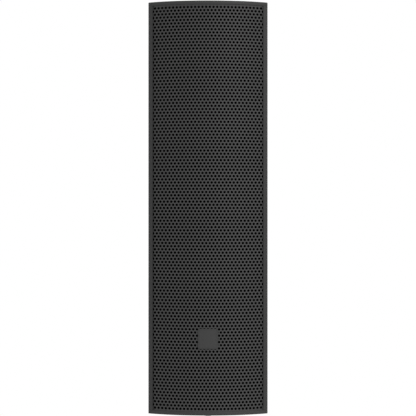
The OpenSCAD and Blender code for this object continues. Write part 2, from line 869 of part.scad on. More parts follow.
// Hexagon nut with a domed end, bored for the stem, the seal and the cable
module gland_nut() {
    dome_from = gland_nut_from + gland_nut_grip;
    dome_l = gland_total - dome_from;
    tip_r = gland_mouth_d / 2 + mouth_lip;
    bore_end = gland_flange_t + seal_seat + fit / 2 + seal_ring_l + seal_room;
    color([0.09, 0.09, 0.09]) at_gland() difference() {
        union() {
            translate([0, 0, gland_nut_from]) cylinder(d = gland_hex / cos(30), h = gland_nut_grip, $fn = 6);
            rotate_extrude() polygon(concat([[0, dome_from - eps], [gland_hex / 2, dome_from - eps]],
                [for (a = [0 : dome_step : 90])
                    [tip_r + (gland_hex / 2 - tip_r) * cos(a), dome_from + dome_l * sin(a)]],
                [[0, gland_total]]));
        }
        translate([0, 0, gland_nut_from - over])
            cylinder(d = gland_stem_d + 2 * fit, h = bore_end - gland_nut_from + over);
        cylinder(d = gland_mouth_d, h = gland_total + over);
    }
}

module gland_locknut() {
    color([0.08, 0.08, 0.08]) at_gland() translate([0, 0, -cover_wall - locknut_t]) difference() {
        cylinder(d = locknut_hex / cos(30), h = locknut_t, $fn = 6);
        translate([0, 0, -over]) cylinder(d = gland_neck_d + 2 * fit, h = locknut_t + 2 * over);
    }
}

module tap_switch() {
    color([0.2, 0.18, 0.15]) difference() {
        union() {
            translate([-switch_s / 2, panel_y - switch_d, knob_z - switch_s / 2])
                cube([switch_s, switch_d, switch_s]);
            along_y(0, panel_y - eps, knob_z, bush_d / 2, panel_t + bush_l);
            hex_along_y(0, panel_back, knob_z, bush_nut_hex, bush_nut_t);
        }
        along_y(0, panel_y - switch_d + shaft_in, knob_z, shaft_d / 2 + shaft_gap, far);
    }
}

module tap_shaft() {
    color([0.75, 0.75, 0.76]) along_y(0, panel_y - switch_d + shaft_in + 2 * fit, knob_z, shaft_d / 2,
        switch_d - shaft_in - 2 * fit + panel_t + knob_gap + knob_h - knob_roof);
}

module tap_knob() {
    color([0.07, 0.07, 0.07]) difference() {
        union() {
            along_y(0, knob_y, knob_z, knob_d / 2, knob_h - knob_edge);
            translate([0, knob_y + knob_h - knob_edge - eps, knob_z]) rotate([-90, 0, 0])
                cylinder(r1 = knob_d / 2, r2 = knob_d / 2 - knob_edge, h = knob_edge);
        }
        along_y(0, knob_y - over, knob_z, knob_hollow_r, over + bush_l + bush_room);
        along_y(0, knob_y - over, knob_z, shaft_d / 2 + press_gap, knob_h - knob_roof + over);
        for (i = [1 : knob_flutes - 1]) rotate_about_knob(i * 360 / knob_flutes)
            along_y(0, knob_y - over, knob_z + knob_d / 2 + flute_out, flute_r, knob_h + 2 * over);
        translate([-pointer_w / 2, knob_y + knob_h - pointer_deep, knob_z + pointer_from])
            cube([pointer_w, pointer_deep + over, knob_d]);
    }
}

module rotate_about_knob(a) {
    translate([0, 0, knob_z]) rotate([0, a, 0]) translate([0, 0, -knob_z]) children();
}

module transformer_core() {
    color([0.4, 0.4, 0.42]) translate([-core_w / 2, core_y, -core_t / 2]) difference() {
        cube([core_w, core_d, core_t]);
        for (x = [yoke_w, (core_w + leg_w) / 2])
            translate([x, yoke_w, -over])
                cube([(core_w - leg_w) / 2 - yoke_w, core_d - 2 * yoke_w, core_t + 2 * over]);
    }
}

module transformer_coil() {
    w = core_w / 2 - yoke_w - bobbin_gap;
    l = core_d - 2 * (yoke_w + bobbin_end);
    color([0.75, 0.6, 0.3]) translate([0, core_y + yoke_w + bobbin_end, 0]) difference() {
        translate([-w, 0, -core_t / 2 - coil_side]) cube([2 * w, l, core_t + 2 * coil_side]);
        translate([-leg_w / 2 - fit, -over, -core_t / 2 - fit])
            cube([leg_w + 2 * fit, l + 2 * over, core_t + 2 * fit]);
    }
}

module transformer_frame() {
    x = core_w / 2 + fit;
    y = core_y - fit;
    color([0.7, 0.7, 0.72]) difference() {
        union() {
            translate([-x - strap_t, y - strap_t, -core_t / 2 + strap_in])
                cube([2 * (x + strap_t), strap_t, core_t - 2 * strap_in]);
            for (s = SIDES) {
                translate([s * (x + strap_t / 2) - strap_t / 2, y - strap_t, -core_t / 2 + strap_in])
                    cube([strap_t, -wall - y + strap_t, core_t - 2 * strap_in]);
                translate([s * (x + foot_x) / 2 - (foot_x - x) / 2, -wall - strap_t, -core_t / 2 + strap_in])
                    cube([foot_x - x, strap_t, core_t - 2 * strap_in]);
            }
        }
        for (s = SIDES)
            along_y(s * foot_screw_x, -wall - strap_t - over, 0, foot_hole_r, strap_t + 2 * over);
    }
}

// Countersunk screws through the back wall, each with its nut inside
module transformer_screws() {
    color([0.3, 0.3, 0.31]) for (s = SIDES) translate([s * foot_screw_x, 0, 0]) {
        difference() {
            union() {
                along_y(0, -foot_screw_from - foot_screw_l, 0, foot_screw_r, foot_screw_l);
                translate([0, -foot_head_from, 0]) rotate([90, 0, 0])
                    cylinder(r1 = foot_head_r, r2 = foot_screw_r, h = foot_head_r - foot_screw_r);
            }
            hex_along_y(0, -foot_socket_deep, 0, foot_socket, foot_socket_deep + over);
        }
        difference() {
            hex_along_y(0, -wall - strap_t - foot_nut_t, 0, foot_nut, foot_nut_t);
            along_y(0, -far / 2, 0, foot_screw_r + fit / 2, far);
        }
    }
}

module filter_board() {
    color([0.05, 0.25, 0.12]) difference() {
        translate([-board_w / 2, board_y, board_z - board_h / 2]) cube([board_w, board_t, board_h]);
        at_posts() along_y(0, board_y - over, 0, post_hole_r, board_t + 2 * over);
    }
}

module at_posts() {
    for (x = SIDES * post_x, z = SIDES * post_z) translate([x, 0, board_z + z]) children();
}

module board_posts() {
    color([0.8, 0.75, 0.5]) at_posts() difference() {
        union() {
            along_y(0, board_y + board_t, 0, post_r, post_l);
            along_y(0, board_y - stud_head_t, 0, stud_r, stud_head_t + board_t + eps);
            along_y(0, board_y - stud_head_t, 0, stud_head_r, stud_head_t);
        }
        hex_along_y(0, board_y - stud_head_t - over, 0, stud_socket, stud_socket_deep + over);
    }
}

// Filter components: an air-cored inductor, a film capacitor, a resistor and a connector
module filter_parts() {
    color([0.7, 0.4, 0.15]) difference() {
        along_y(0, board_y - choke_h, board_z + choke_z, choke_out, choke_h);
        along_y(0, board_y - choke_h - over, board_z + choke_z, choke_in, choke_h + 2 * over);
    }
    color([0.75, 0.15, 0.1]) on_board(FILM);
    color([0.85, 0.85, 0.8]) on_board(RESISTOR);
    color([0.9, 0.9, 0.85]) on_board(SMALL_SOCKET);
    color([0.9, 0.9, 0.85]) on_board(LARGE_SOCKET);
}

module on_board(p) {
    translate([p[0], board_y - p[3], board_z - p[1]]) cube([p[2], p[3], p[4]]);
}

// Smooth tube along a list of points
function bezier_mid(p, i, t) =
    let (a = p[max(i - 1, 0)], b = p[i], c = p[i + 1], d = p[min(i + 2, len(p) - 1)])
    0.5 * (2 * b + (c - a) * t + (2 * a - 5 * b + 4 * c - d) * t * t + (3 * b - a - 3 * c + d) * t * t * t);
function smooth(p, n) = concat(
    [for (i = [0 : len(p) - 2], k = [0 : n - 1]) bezier_mid(p, i, k / n)], [p[len(p) - 1]]);
function unit(v) = v / norm(v);
function tangent(p, i, ends) =
    i == 0 ? ends[0] : i == len(p) - 1 ? ends[1] : unit(p[i + 1] - p[i - 1]);
function frames(p, ends, i = 0, last = [0.31, 0.22, 0.92]) = i == len(p) ? [] :
    let (t = tangent(p, i, ends), u = unit(last - (last * t) * t))
    concat([[u, cross(t, u)]], frames(p, ends, i + 1, u));

module tube(route, d) {
    path = smooth(route, 4);
    n = len(path);
    m = len(route);
    frame = frames(path, [unit(route[1] - route[0]), unit(route[m - 1] - route[m - 2])]);
    sides = 8;
    points = [for (i = [0 : n - 1], k = [0 : sides - 1])
        path[i] + d / 2 * (cos(360 * k / sides) * frame[i][0] + sin(360 * k / sides) * frame[i][1])];
    walls = [for (i = [0 : n - 2], k = [0 : sides - 1], h = [0, 1])
        let (a = i * sides + k, b = i * sides + (k + 1) % sides)
        h == 0 ? [a, a + sides, b + sides] : [a, b + sides, b]];
    polyhedron(points, concat(walls, [[for (k = [0 : sides - 1]) k]],
        [[for (k = [sides - 1 : -1 : 0]) (n - 1) * sides + k]]));
}

module supply_leads() {
    color([0.6, 0.1, 0.08]) {
        tube(BLOCK_TO_TAP, lead_d);
        tube(TAP_TO_CORE, lead_d);
        tube(CORE_TO_BOARD, lead_d);
    }
}

// Route of one driver's lead: from the board's socket, along the loom, to the solder tags.
// The lead of a driver that sits level with the socket (way 0) goes straight across.
function lead_route(n) =
    let (
        x = loom_x - loom_step * (6 - n),
        z = driver_z(n),
        way = abs(z - socket_z) < 40 ? 0 : sign(z - socket_z),
        from_x = (n - 3) * socket_pitch + 9)
    concat(
        [[from_x, board_y - 3.5, socket_z - lead_end], [from_x, board_y - 3.5, socket_z - 8],
            [from_x - 25, -23 - 3 * n, socket_z - 15], [x + 10, -37 - n, socket_z - 18 + 6 * way]],
        way == 0 ? [[x, loom_y - 6, z - 14]] :
            [[x, loom_y, socket_z - 20 + 22 * way], [x, loom_y, z - 22 * way], [x + 1, loom_y - 9, z - 8 * way]],
        [[-46, tag_y + 6, z - 2 * way], [tag_x - 6, tag_y + 0.4, z], [tag_x, tag_y, z]]);

module driver_leads() {
    color([0.1, 0.1, 0.5]) for (n = DRIVERS) tube(lead_route(n), driver_lead_d);
}

cabinet_extrusion();
top_cap();
bottom_cap();
cap_gaskets();
cap_screws();
grille();
grille_cloth();
badge();
baffle();
baskets();
driver_gaskets();
driver_screws();
top_plates();
magnets();
yokes();
surround(1);  // surround_1
surround(2);  // surround_2
surround(3);  // surround_3
surround(4);  // surround_4
surround(5);  // surround_5
spider(1);  // spider_1
spider(2);  // spider_2
spider(3);  // spider_3
spider(4);  // spider_4
spider(5);  // spider_5
cone(1);  // cone_1
cone(2);  // cone_2
cone(3);  // cone_3
cone(4);  // cone_4
cone(5);  // cone_5
voice_coil(1);  // voice_coil_1
voice_coil(2);  // voice_coil_2
voice_coil(3);  // voice_coil_3
voice_coil(4);  // voice_coil_4
voice_coil(5);  // voice_coil_5
rear_inserts();
terminal_panel();
terminal_panel_gasket();
terminal_panel_screws();
terminal_cover();
terminal_cover_gasket();
terminal_cover_screws();
terminal_block();
terminal_screws();
gland_body();
gland_nut();
gland_seal();
gland_locknut();
tap_switch();
tap_shaft();
tap_knob();
transformer_core();
transformer_coil();
transformer_frame();
transformer_screws();
filter_board();
filter_parts();
board_posts();
supply_leads();
driver_leads();
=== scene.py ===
"""Looks of a column loudspeaker: cabinet, curved perforated grille, rear terminals and selector."""

import math

import bmesh
import bpy
from mathutils import Matrix, Vector


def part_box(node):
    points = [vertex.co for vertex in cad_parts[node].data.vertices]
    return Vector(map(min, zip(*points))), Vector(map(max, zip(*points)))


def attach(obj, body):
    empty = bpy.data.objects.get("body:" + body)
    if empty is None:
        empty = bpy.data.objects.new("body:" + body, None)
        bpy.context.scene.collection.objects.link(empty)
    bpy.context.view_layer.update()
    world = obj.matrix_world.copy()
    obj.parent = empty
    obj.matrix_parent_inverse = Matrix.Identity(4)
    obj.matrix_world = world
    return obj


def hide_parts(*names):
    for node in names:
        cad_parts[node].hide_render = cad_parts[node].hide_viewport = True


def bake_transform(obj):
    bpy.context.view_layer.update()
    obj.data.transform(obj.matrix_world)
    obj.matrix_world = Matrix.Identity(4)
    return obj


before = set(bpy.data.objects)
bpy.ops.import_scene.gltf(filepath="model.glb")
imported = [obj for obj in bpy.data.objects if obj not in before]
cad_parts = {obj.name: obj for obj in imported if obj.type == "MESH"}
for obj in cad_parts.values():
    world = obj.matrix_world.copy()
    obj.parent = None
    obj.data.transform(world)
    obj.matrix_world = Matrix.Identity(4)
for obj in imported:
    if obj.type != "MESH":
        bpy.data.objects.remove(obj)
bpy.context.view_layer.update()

# ---------------------------------------------------------------- sizes, in metres
MM = 0.001
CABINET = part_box("cabinet_extrusion")
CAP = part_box("top_cap")
HALF_W = CABINET[1].x
BODY_END = CABINET[1].z
HALF_H = CAP[1].z
CROWN_Y = -134 * MM      # front-most line of the cabinet
FRONT_R = 111 * MM       # radius of the curved front
ARC_Y = CROWN_Y + FRONT_R
BACK_HALF = 45 * MM      # half the width of the flat back
TAPER_D = 46 * MM
WALL = 3 * MM
RIB_W = 6.5 * MM         # how far the baffle's ribs stand in from the walls
WINDOW_X = 68.15 * MM    # half the width of the grille that shows between the rims
SLOT_X = 70.85 * MM
GRILLE_R = FRONT_R - 1.2 * MM
GRILLE_T = 1.2 * MM
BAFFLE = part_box("baffle")
PORT_R = 4.3 * MM        # screw ports in the corners of the extrusion
PORT_BORE_R = 2.05 * MM
TAPPED_R = 1.55 * MM     # bores that a 3 mm screw is driven into, with their thread left out
FREE_R = 1.65 * MM       # bores that a 3 mm screw passes through
CORNER_R = 0.7 * MM      # rounding of the upright corners and of the caps' outer edges
FIT = 0.1 * MM           # room round the baffle in its channels
REACH = 5 * MM           # how far a cutting tool reaches past the piece
STAND_OFF = 10 * MM      # how far before the crown a flat sheet stands until it is pressed round

HOLE_PITCH = 4.5 * MM
ROW_PITCH = 3.9 * MM
HOLE_R = 1.62 * MM       # to a corner: ten sides as open as a 3.1 mm round hole
HOLE_SIDES = 10
HOLES_EACH_WAY = 15      # holes on each side of the middle one, in the middle row
ROWS_EACH_WAY = 64       # the last row at each end is left whole, for the groove in the cap

DRIVERS = 5
CLOTH_T = 0.5 * MM
DIAL_STEPS = 5
DIAL_ANGLE = 30          # degrees between two steps of the selector
GLAND_FLATS = 15 * MM    # across the flats of the gland's hexagons

CAMERA_BACK = 2.594      # from the crown of the front to the camera
CAMERA_LENS = 183.9

BAND = 0.314             # a wave texture of this scale has one band to the metre
FLOOR_R = 2.1
FLOOR_Z = -0.5

SCREW_SIDES = 32
TINY = 1e-6              # under this, two corners stand in the same place
NEAR = 1e-5              # under this, a corner lies on a face
HAIR = 1e-7              # merging distance for cuts and for printed digits
TO_BACK = Matrix.Rotation(-math.pi / 2, 4, "X")     # turns what points up so that it points to the back


# ---------------------------------------------------------------- modelling
def only(obj):
    """Makes one object the selected and active one."""
    if bpy.context.mode != "OBJECT":
        bpy.ops.object.mode_set(mode="OBJECT")
    bpy.ops.object.select_all(action="DESELECT")
    obj.select_set(True)
    bpy.context.view_layer.objects.active = obj


def settle(obj):
    """Puts the object's place and turn into its mesh."""
    only(obj)
    bpy.ops.object.transform_apply(location=True, rotation=True, scale=True)
    return obj


def edit(obj, kind="FACE"):
    only(obj)
    bpy.ops.object.mode_set(mode="EDIT")
    bpy.ops.mesh.select_mode(type=kind)
    bpy.ops.mesh.select_all(action="DESELECT")
    return bmesh.from_edit_mesh(obj.data)


def leave():
    bpy.ops.object.mode_set(mode="OBJECT")


def pick_faces(obj, test):
    """Starts editing with the faces selected for which test(centre, normal) is true."""
    mesh = edit(obj, "FACE")
    for face in mesh.faces:
        face.select_set(bool(test(face.calc_center_median(), face.normal)))
    bmesh.update_edit_mesh(obj.data)


def pick_edges(obj, test):
    """Starts editing with the edges selected for which test(end, other end) is true."""
    mesh = edit(obj, "EDGE")
    for e in mesh.edges:
        e.select_set(bool(test(e.verts[0].co, e.verts[1].co)))
    bmesh.update_edit_mesh(obj.data)


def bevel(obj, test, width, segments=3):
    pick_edges(obj, test)
    bpy.ops.mesh.bevel(offset=width, segments=segments, affect="EDGES", clamp_overlap=False)
    leave()


def slice_off(obj, *planes):
    """Cuts with each plane, given as a point and a normal, and drops what the normal points at."""
    edit(obj)
    for point, normal in planes:
        bpy.ops.mesh.select_all(action="SELECT")
        bpy.ops.mesh.bisect(
            plane_co=point, plane_no=normal, use_fill=True, clear_outer=True, threshold=HAIR)
    leave()


def modify(obj, kind, **settings):
    """Adds a modifier, sets it and applies it."""
    only(obj)
    mod = obj.modifiers.new(kind.lower(), kind)
    for key, value in settings.items():
        setattr(mod, key, value)
    bpy.ops.object.modifier_apply(modifier=mod.name)
    return obj


def cut(obj, *tools, operation="DIFFERENCE"):
    for tool in tools:
        modify(obj, "BOOLEAN", operation=operation, solver="EXACT", object=tool)
        bpy.data.objects.remove(tool)
    return obj


def join(obj, *others):
    only(obj)
    for other in others:
        other.select_set(True)
    bpy.ops.object.join()
    return obj


def merge(obj, gap):
    """Merges the corners of a piece that lie closer together than gap."""
    edit(obj, "VERT")
    bpy.ops.mesh.select_all(action="SELECT")
    bpy.ops.mesh.remove_doubles(threshold=gap)
    leave()
    return obj


def block(low, high):
    """A box between two corners, in metres."""
    low, high = Vector(low), Vector(high)
    bpy.ops.mesh.primitive_cube_add(size=1, location=(low + high) / 2)
    bpy.context.object.scale = high - low
    return settle(bpy.context.object)


def rod(radius, start, end, sides=64, turn=0.0):
    """A round or polygonal bar from one point to another."""
    start, end = Vector(start), Vector(end)
    along = end - start
    bpy.ops.mesh.primitive_cylinder_add(vertices=sides, radius=radius, depth=along.length)
    bar = bpy.context.object
    aim = along.to_track_quat("Z", "Y").to_matrix().to_4x4()
    bar.matrix_world = Matrix.Translation((start + end) / 2) @ aim @ Matrix.Rotation(turn, 4, "Z")
    return settle(bar)


def in_mm(*steps):
    """(radius, height) steps for turned(), given in millimetres."""
    return [(radius * MM, height * MM) for radius, height in steps]


def turned(profile, sides=64, fill="NGON"):
    """A closed piece turned about Z from (radius, height) steps, or an open sheet if it has no fill."""
    bpy.ops.mesh.primitive_circle_add(
        vertices=sides, radius=profile[0][0], location=(0, 0, profile[0][1]), fill_type=fill)
    obj = settle(bpy.context.object)
    edit(obj, "FACE" if fill == "NGON" else "EDGE")
    bpy.ops.mesh.select_all(action="SELECT")
    for (radius, height), (next_radius, next_height) in zip(profile, profile[1:]):
        bpy.ops.mesh.extrude_region_move(TRANSFORM_OT_translate={"value": (0, 0, next_height - height)})
        grow = next_radius / radius
        bpy.ops.transform.resize(value=(grow, grow, 1), center_override=(0, 0, next_height))
    bpy.ops.mesh.select_all(action="SELECT")
    bpy.ops.mesh.normals_make_consistent(inside=False)
    leave()
    return obj


def put(obj, matrix):
    """Moves a piece by the matrix and settles it."""
    obj.matrix_world = matrix @ obj.matrix_world
    return settle(obj)


def copy_of(obj, matrix):
    """A copy with its own mesh, moved by the matrix."""
    twin = obj.copy()
    twin.data = obj.data.copy()
    bpy.context.scene.collection.objects.link(twin)
    twin.matrix_world = matrix
    return settle(twin)


def solids_of(node):
    """The (lowest, highest) corners of each separate solid in a CAD node, from low to high."""
    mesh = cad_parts[node].data
    key = [tuple(round(c / (0.002 * MM)) for c in v.co) for v in mesh.vertices]
    parent = {k: k for k in key}

    def root(k):
        while parent[k] != k:
            parent[k] = parent[parent[k]]
            k = parent[k]
        return k

    for e in mesh.edges:
        parent[root(key[e.vertices[0]])] = root(key[e.vertices[1]])
    groups = {}
    for v, k in zip(mesh.vertices, key):
        groups.setdefault(root(k), []).append(v.co)
    boxes = [(Vector(map(min, zip(*g))), Vector(map(max, zip(*g)))) for g in groups.values()]
    return sorted(boxes, key=lambda b: tuple(round(c, 4) for c in (b[0].z, b[0].x, b[0].y)))


def piece(obj, name, body, slot, material, *nodes, smooth=35):
    """Finishes a piece: name, body if one is given, finish, and the CAD nodes that it stands for."""
    settle(obj)
    obj.name = name
    obj.data.name = name
    bpy.ops.object.shade_smooth_by_angle(angle=math.radians(smooth))
    obj.data.materials.clear()
    obj.data.materials.append(material)
    if body:
        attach(obj, body)
    if nodes:
        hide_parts(*nodes)
    return obj


# ---------------------------------------------------------------- materials
def shader(name, roughness=0.5, metallic=0.0, **sockets):
    """A new material, as (material, its node tree, its surface shader)."""
    material = bpy.data.materials.new(name)
    material.use_nodes = True
    tree = material.node_tree
    tree.nodes.clear()
    out = tree.nodes.new("ShaderNodeOutputMaterial")
    skin = tree.nodes.new("ShaderNodeBsdfPrincipled")
    tree.links.new(skin.outputs["BSDF"], out.inputs["Surface"])
    skin.inputs["Roughness"].default_value = roughness
    skin.inputs["Metallic"].default_value = metallic
    for socket, value in sockets.items():
        skin.inputs[socket.replace("_", " ")].default_value = value
    return material, tree, skin


def noise(tree, scale, detail=3.0, stretch=None, roughness=0.55):
    """Noise on Object coordinates. Its scale is in waves per metre, and stretch squeezes its axes."""
    place = tree.nodes.new("ShaderNodeTexCoord").outputs["Object"]
    if stretch:
        mapping = tree.nodes.new("ShaderNodeMapping")
        mapping.inputs["Scale"].default_value = stretch
        tree.links.new(place, mapping.inputs["Vector"])
        place = mapping.outputs["Vector"]
    node = tree.nodes.new("ShaderNodeTexNoise")
    node.inputs["Scale"].default_value = scale
    node.inputs["Detail"].default_value = detail
    node.inputs["Roughness"].default_value = roughness
    tree.links.new(place, node.inputs["Vector"])
    return node.outputs["Fac"]


def cells(tree, scale):
    """Small round cells on Object coordinates, in cells per metre."""
    place = tree.nodes.new("ShaderNodeTexCoord").outputs["Object"]
    node = tree.nodes.new("ShaderNodeTexVoronoi")
    node.inputs["Scale"].default_value = scale
    tree.links.new(place, node.inputs["Vector"])
    return node.outputs["Distance"]


def ramp(tree, value, *stops):
    """Colours along a value, as (position, colour) pairs."""
    node = tree.nodes.new("ShaderNodeValToRGB")
    while len(node.color_ramp.elements) < len(stops):
        node.color_ramp.elements.new(0.5)
    for element, (position, colour) in zip(node.color_ramp.elements, stops):
        element.position = position
        element.color = (*colour, 1)
    tree.links.new(value, node.inputs["Fac"])
    return node.outputs["Color"]


def span(tree, value, low, high):
    """Stretches the middle of a noise to run from low to high."""
    node = tree.nodes.new("ShaderNodeMapRange")
    for socket, number in (("From Min", 0.3), ("From Max", 0.7), ("To Min", low), ("To Max", high)):
        node.inputs[socket].default_value = number
    tree.links.new(value, node.inputs["Value"])
    return node.outputs["Result"]


def bump(tree, skin, height, distance, strength=1.0):
    """Bump on the shader's normal, over any bump that is there already."""
    node = tree.nodes.new("ShaderNodeBump")
    node.inputs["Strength"].default_value = strength
    node.inputs["Distance"].default_value = distance
    tree.links.new(height, node.inputs["Height"])
    if skin.inputs["Normal"].is_linked:
        tree.links.new(skin.inputs["Normal"].links[0].from_socket, node.inputs["Normal"])
    tree.links.new(node.outputs["Normal"], skin.inputs["Normal"])


def shades(colour, spread):
    """The darker and the lighter shade of a colour."""
    return [tuple(c * k for c in colour) for k in (1 - spread, 1 + spread)]


def powder_coat(name, colour, roughness=(0.56, 0.62), grain=1500):
    """Baked powder coat: orange peel, a fine tooth and faint clouds of shade."""
    material, tree, skin = shader(name)
    dark, light = shades(colour, 0.12)
    tone = ramp(tree, noise(tree, grain, 2), (0.35, dark), (0.65, light))
    tree.links.new(tone, skin.inputs["Base Color"])
    tree.links.new(span(tree, noise(tree, 240, 3), *roughness), skin.inputs["Roughness"])
    bump(tree, skin, noise(tree, 420, 2), 0.06 * MM, 0.5)
    bump(tree, skin, noise(tree, grain, 2), 0.03 * MM, 0.6)
    return material


def moulded(name, colour, roughness=(0.42, 0.55), grain=1100, depth=0.03):
    """Moulded plastic with a spark-eroded tooth."""
    material, tree, skin = shader(name)
    dark, light = shades(colour, 0.12)
    tree.links.new(ramp(tree, noise(tree, 140, 4), (0.3, dark), (0.7, light)), skin.inputs["Base Color"])
    tree.links.new(span(tree, noise(tree, 90, 3), *roughness), skin.inputs["Roughness"])
    bump(tree, skin, cells(tree, grain), depth * MM, 0.5)
    return material


def soft_rubber(name, colour, roughness=(0.68, 0.85)):
    """Dull rubber or lead insulation with a fine skin."""
    material, tree, skin = shader(name)
    dark, light = shades(colour, 0.25)
    tree.links.new(ramp(tree, noise(tree, 300, 4), (0.3, dark), (0.7, light)), skin.inputs["Base Color"])
    tree.links.new(span(tree, noise(tree, 70, 3), *roughness), skin.inputs["Roughness"])
    bump(tree, skin, noise(tree, 1800, 2), 0.02 * MM, 0.5)
    return material


def worked_metal(name, colour, roughness=(0.22, 0.4), stretch=(1, 1, 1), grain=700, metallic=1.0):
    """Turned, drawn or plated metal, with tool marks along the axis that stretch leaves long."""
    material, tree, skin = shader(name, metallic=metallic)
    dark, light = shades(colour, 0.14)
    tree.links.new(ramp(tree, noise(tree, 120, 4), (0.3, dark), (0.7, light)), skin.inputs["Base Color"])
    marks = noise(tree, grain, 3, stretch)
    tree.links.new(span(tree, marks, *roughness), skin.inputs["Roughness"])
    bump(tree, skin, marks, 0.012 * MM, 0.5)
    return material


def woven(name, colour, pitch, depth, roughness=0.9, **sockets):
    """Plain weave: two crossed sets of threads on Object coordinates."""
    material, tree, skin = shader(name, roughness=roughness, **sockets)
    place = tree.nodes.new("ShaderNodeTexCoord").outputs["Object"]
    threads = []
    for axis in ("X", "Z"):
        wave = tree.nodes.new("ShaderNodeTexWave")
        wave.bands_direction = axis
        wave.inputs["Scale"].default_value = BAND / pitch
        wave.inputs["Distortion"].default_value = 0.4
        tree.links.new(place, wave.inputs["Vector"])
        threads.append(wave.outputs["Fac"])
    both = tree.nodes.new("ShaderNodeMath")
    both.operation = "MULTIPLY"
    tree.links.new(threads[0], both.inputs[0])
    tree.links.new(threads[1], both.inputs[1])
    dark, light = shades(colour, 0.5)
    tree.links.new(ramp(tree, both.outputs[0], (0.1, dark), (0.8, light)), skin.inputs["Base Color"])
    bump(tree, skin, both.outputs[0], depth, 0.8)
    return material


def fibrous(name, colour, roughness=0.85):
    """Pressed paper with fibres that lie every way."""
    material, tree, skin = shader(name, roughness=roughness)
    dark, light = shades(colour, 0.35)
    fibres = noise(tree, 900, 6, (1, 1, 0.25), 0.7)
    tree.links.new(ramp(tree, fibres, (0.35, dark), (0.65, light)), skin.inputs["Base Color"])
    bump(tree, skin, fibres, 0.05 * MM, 0.7)
    return material


def wound(name, colour, pitch, axis="Z", roughness=0.35, metallic=0.0):
    """A close winding of wire or tape: ridges square to the axis."""
    material, tree, skin = shader(name, roughness=roughness, metallic=metallic)
    place = tree.nodes.new("ShaderNodeTexCoord").outputs["Object"]
    wave = tree.nodes.new("ShaderNodeTexWave")
    wave.bands_direction = axis
    wave.inputs["Scale"].default_value = BAND / pitch
    wave.inputs["Distortion"].default_value = 0.3
    tree.links.new(place, wave.inputs["Vector"])
    dark, light = shades(colour, 0.3)
    tree.links.new(ramp(tree, wave.outputs["Fac"], (0.0, dark), (0.6, light)), skin.inputs["Base Color"])
    bump(tree, skin, wave.outputs["Fac"], pitch * 0.3, 0.8)
    return material


COAT = powder_coat("charcoal_powder_coat", (0.035, 0.035, 0.035))
CAP_COAT = powder_coat("cap_powder_coat", (0.038, 0.038, 0.038), (0.58, 0.64), 1300)
GRILLE_COAT = powder_coat("grille_powder_coat", (0.054, 0.054, 0.054), grain=1800)
BADGE_COAT = powder_coat("badge_satin_coat", (0.045, 0.045, 0.045), (0.4, 0.46), 2200)
PANEL_COAT = powder_coat("panel_powder_coat", (0.028, 0.028, 0.028))
BASKET_COAT = powder_coat("basket_enamel", (0.02, 0.02, 0.021), (0.3, 0.42), 900)
WEATHER_CLOTH = woven("weather_cloth", (0.001, 0.001, 0.001), 0.5 * MM, 0.1 * MM, Specular_IOR_Level=0.0)
COVER_PLASTIC = moulded("cover_plastic", (0.018, 0.018, 0.0185))
GLAND_NYLON = moulded("gland_nylon", (0.014, 0.014, 0.014), (0.35, 0.45), 1600, 0.015)
KNOB_PLASTIC = moulded("knob_plastic", (0.012, 0.012, 0.012), (0.38, 0.5), 1300, 0.02)
BAFFLE_PLASTIC = moulded("baffle_plastic", (0.015, 0.015, 0.015), (0.55, 0.7), 700, 0.05)
SWITCH_PLASTIC = moulded("switch_phenolic", (0.10, 0.06, 0.035), (0.35, 0.5), 800, 0.02)
BLOCK_PLASTIC = moulded("terminal_green", (0.02, 0.2, 0.05), (0.3, 0.42), 1500, 0.01)
BOARD_LAMINATE = moulded("board_laminate", (0.01, 0.12, 0.04), (0.22, 0.32), 500, 0.01)
PART_PLASTIC = moulded("component_lacquer", (0.42, 0.07, 0.03), (0.2, 0.32), 900, 0.01)
SEAL_RUBBER = soft_rubber("seal_rubber", (0.011, 0.011, 0.011))
ROLL_RUBBER = soft_rubber("surround_rubber", (0.010, 0.010, 0.0105), (0.45, 0.6))
RED_LEAD = soft_rubber("red_insulation", (0.45, 0.02, 0.015), (0.35, 0.5))
BLUE_LEAD = soft_rubber("blue_insulation", (0.02, 0.04, 0.3), (0.35, 0.5))
BLACK_OXIDE = worked_metal("black_oxide_steel", (0.05, 0.05, 0.052), (0.32, 0.5))
STAINLESS = worked_metal("stainless_steel", (0.56, 0.55, 0.54), (0.2, 0.36))
TURNED_STEEL = worked_metal("turned_shaft_steel", (0.55, 0.55, 0.55), (0.15, 0.3), (0.2, 8, 0.2))
ZINC = worked_metal("zinc_plate", (0.55, 0.5, 0.38), (0.25, 0.42))
BRASS = worked_metal("turned_brass", (0.72, 0.5, 0.2), (0.22, 0.38), (0.3, 6, 0.3))
LAMINATIONS = wound("core_laminations", (0.16, 0.16, 0.17), 0.5 * MM, "Z", 0.45, 0.8)
FERRITE = moulded("ferrite", (0.035, 0.034, 0.036), (0.5, 0.7), 900, 0.05)
CONE_PAPER = fibrous("cone_paper", (0.02, 0.02, 0.02))
SPIDER_CLOTH = woven("spider_cloth", (0.42, 0.26, 0.06), 0.45 * MM, 0.08 * MM, 0.8)
COPPER_COIL = wound("copper_winding", (0.5, 0.2, 0.07), 0.4 * MM, "Y", 0.3, 0.6)
COIL_TAPE = wound("winding_tape", (0.6, 0.36, 0.05), 6 * MM, "Z", 0.5)
WHITE_INK = moulded("white_print", (0.62, 0.62, 0.6), (0.5, 0.6), 900, 0.01)


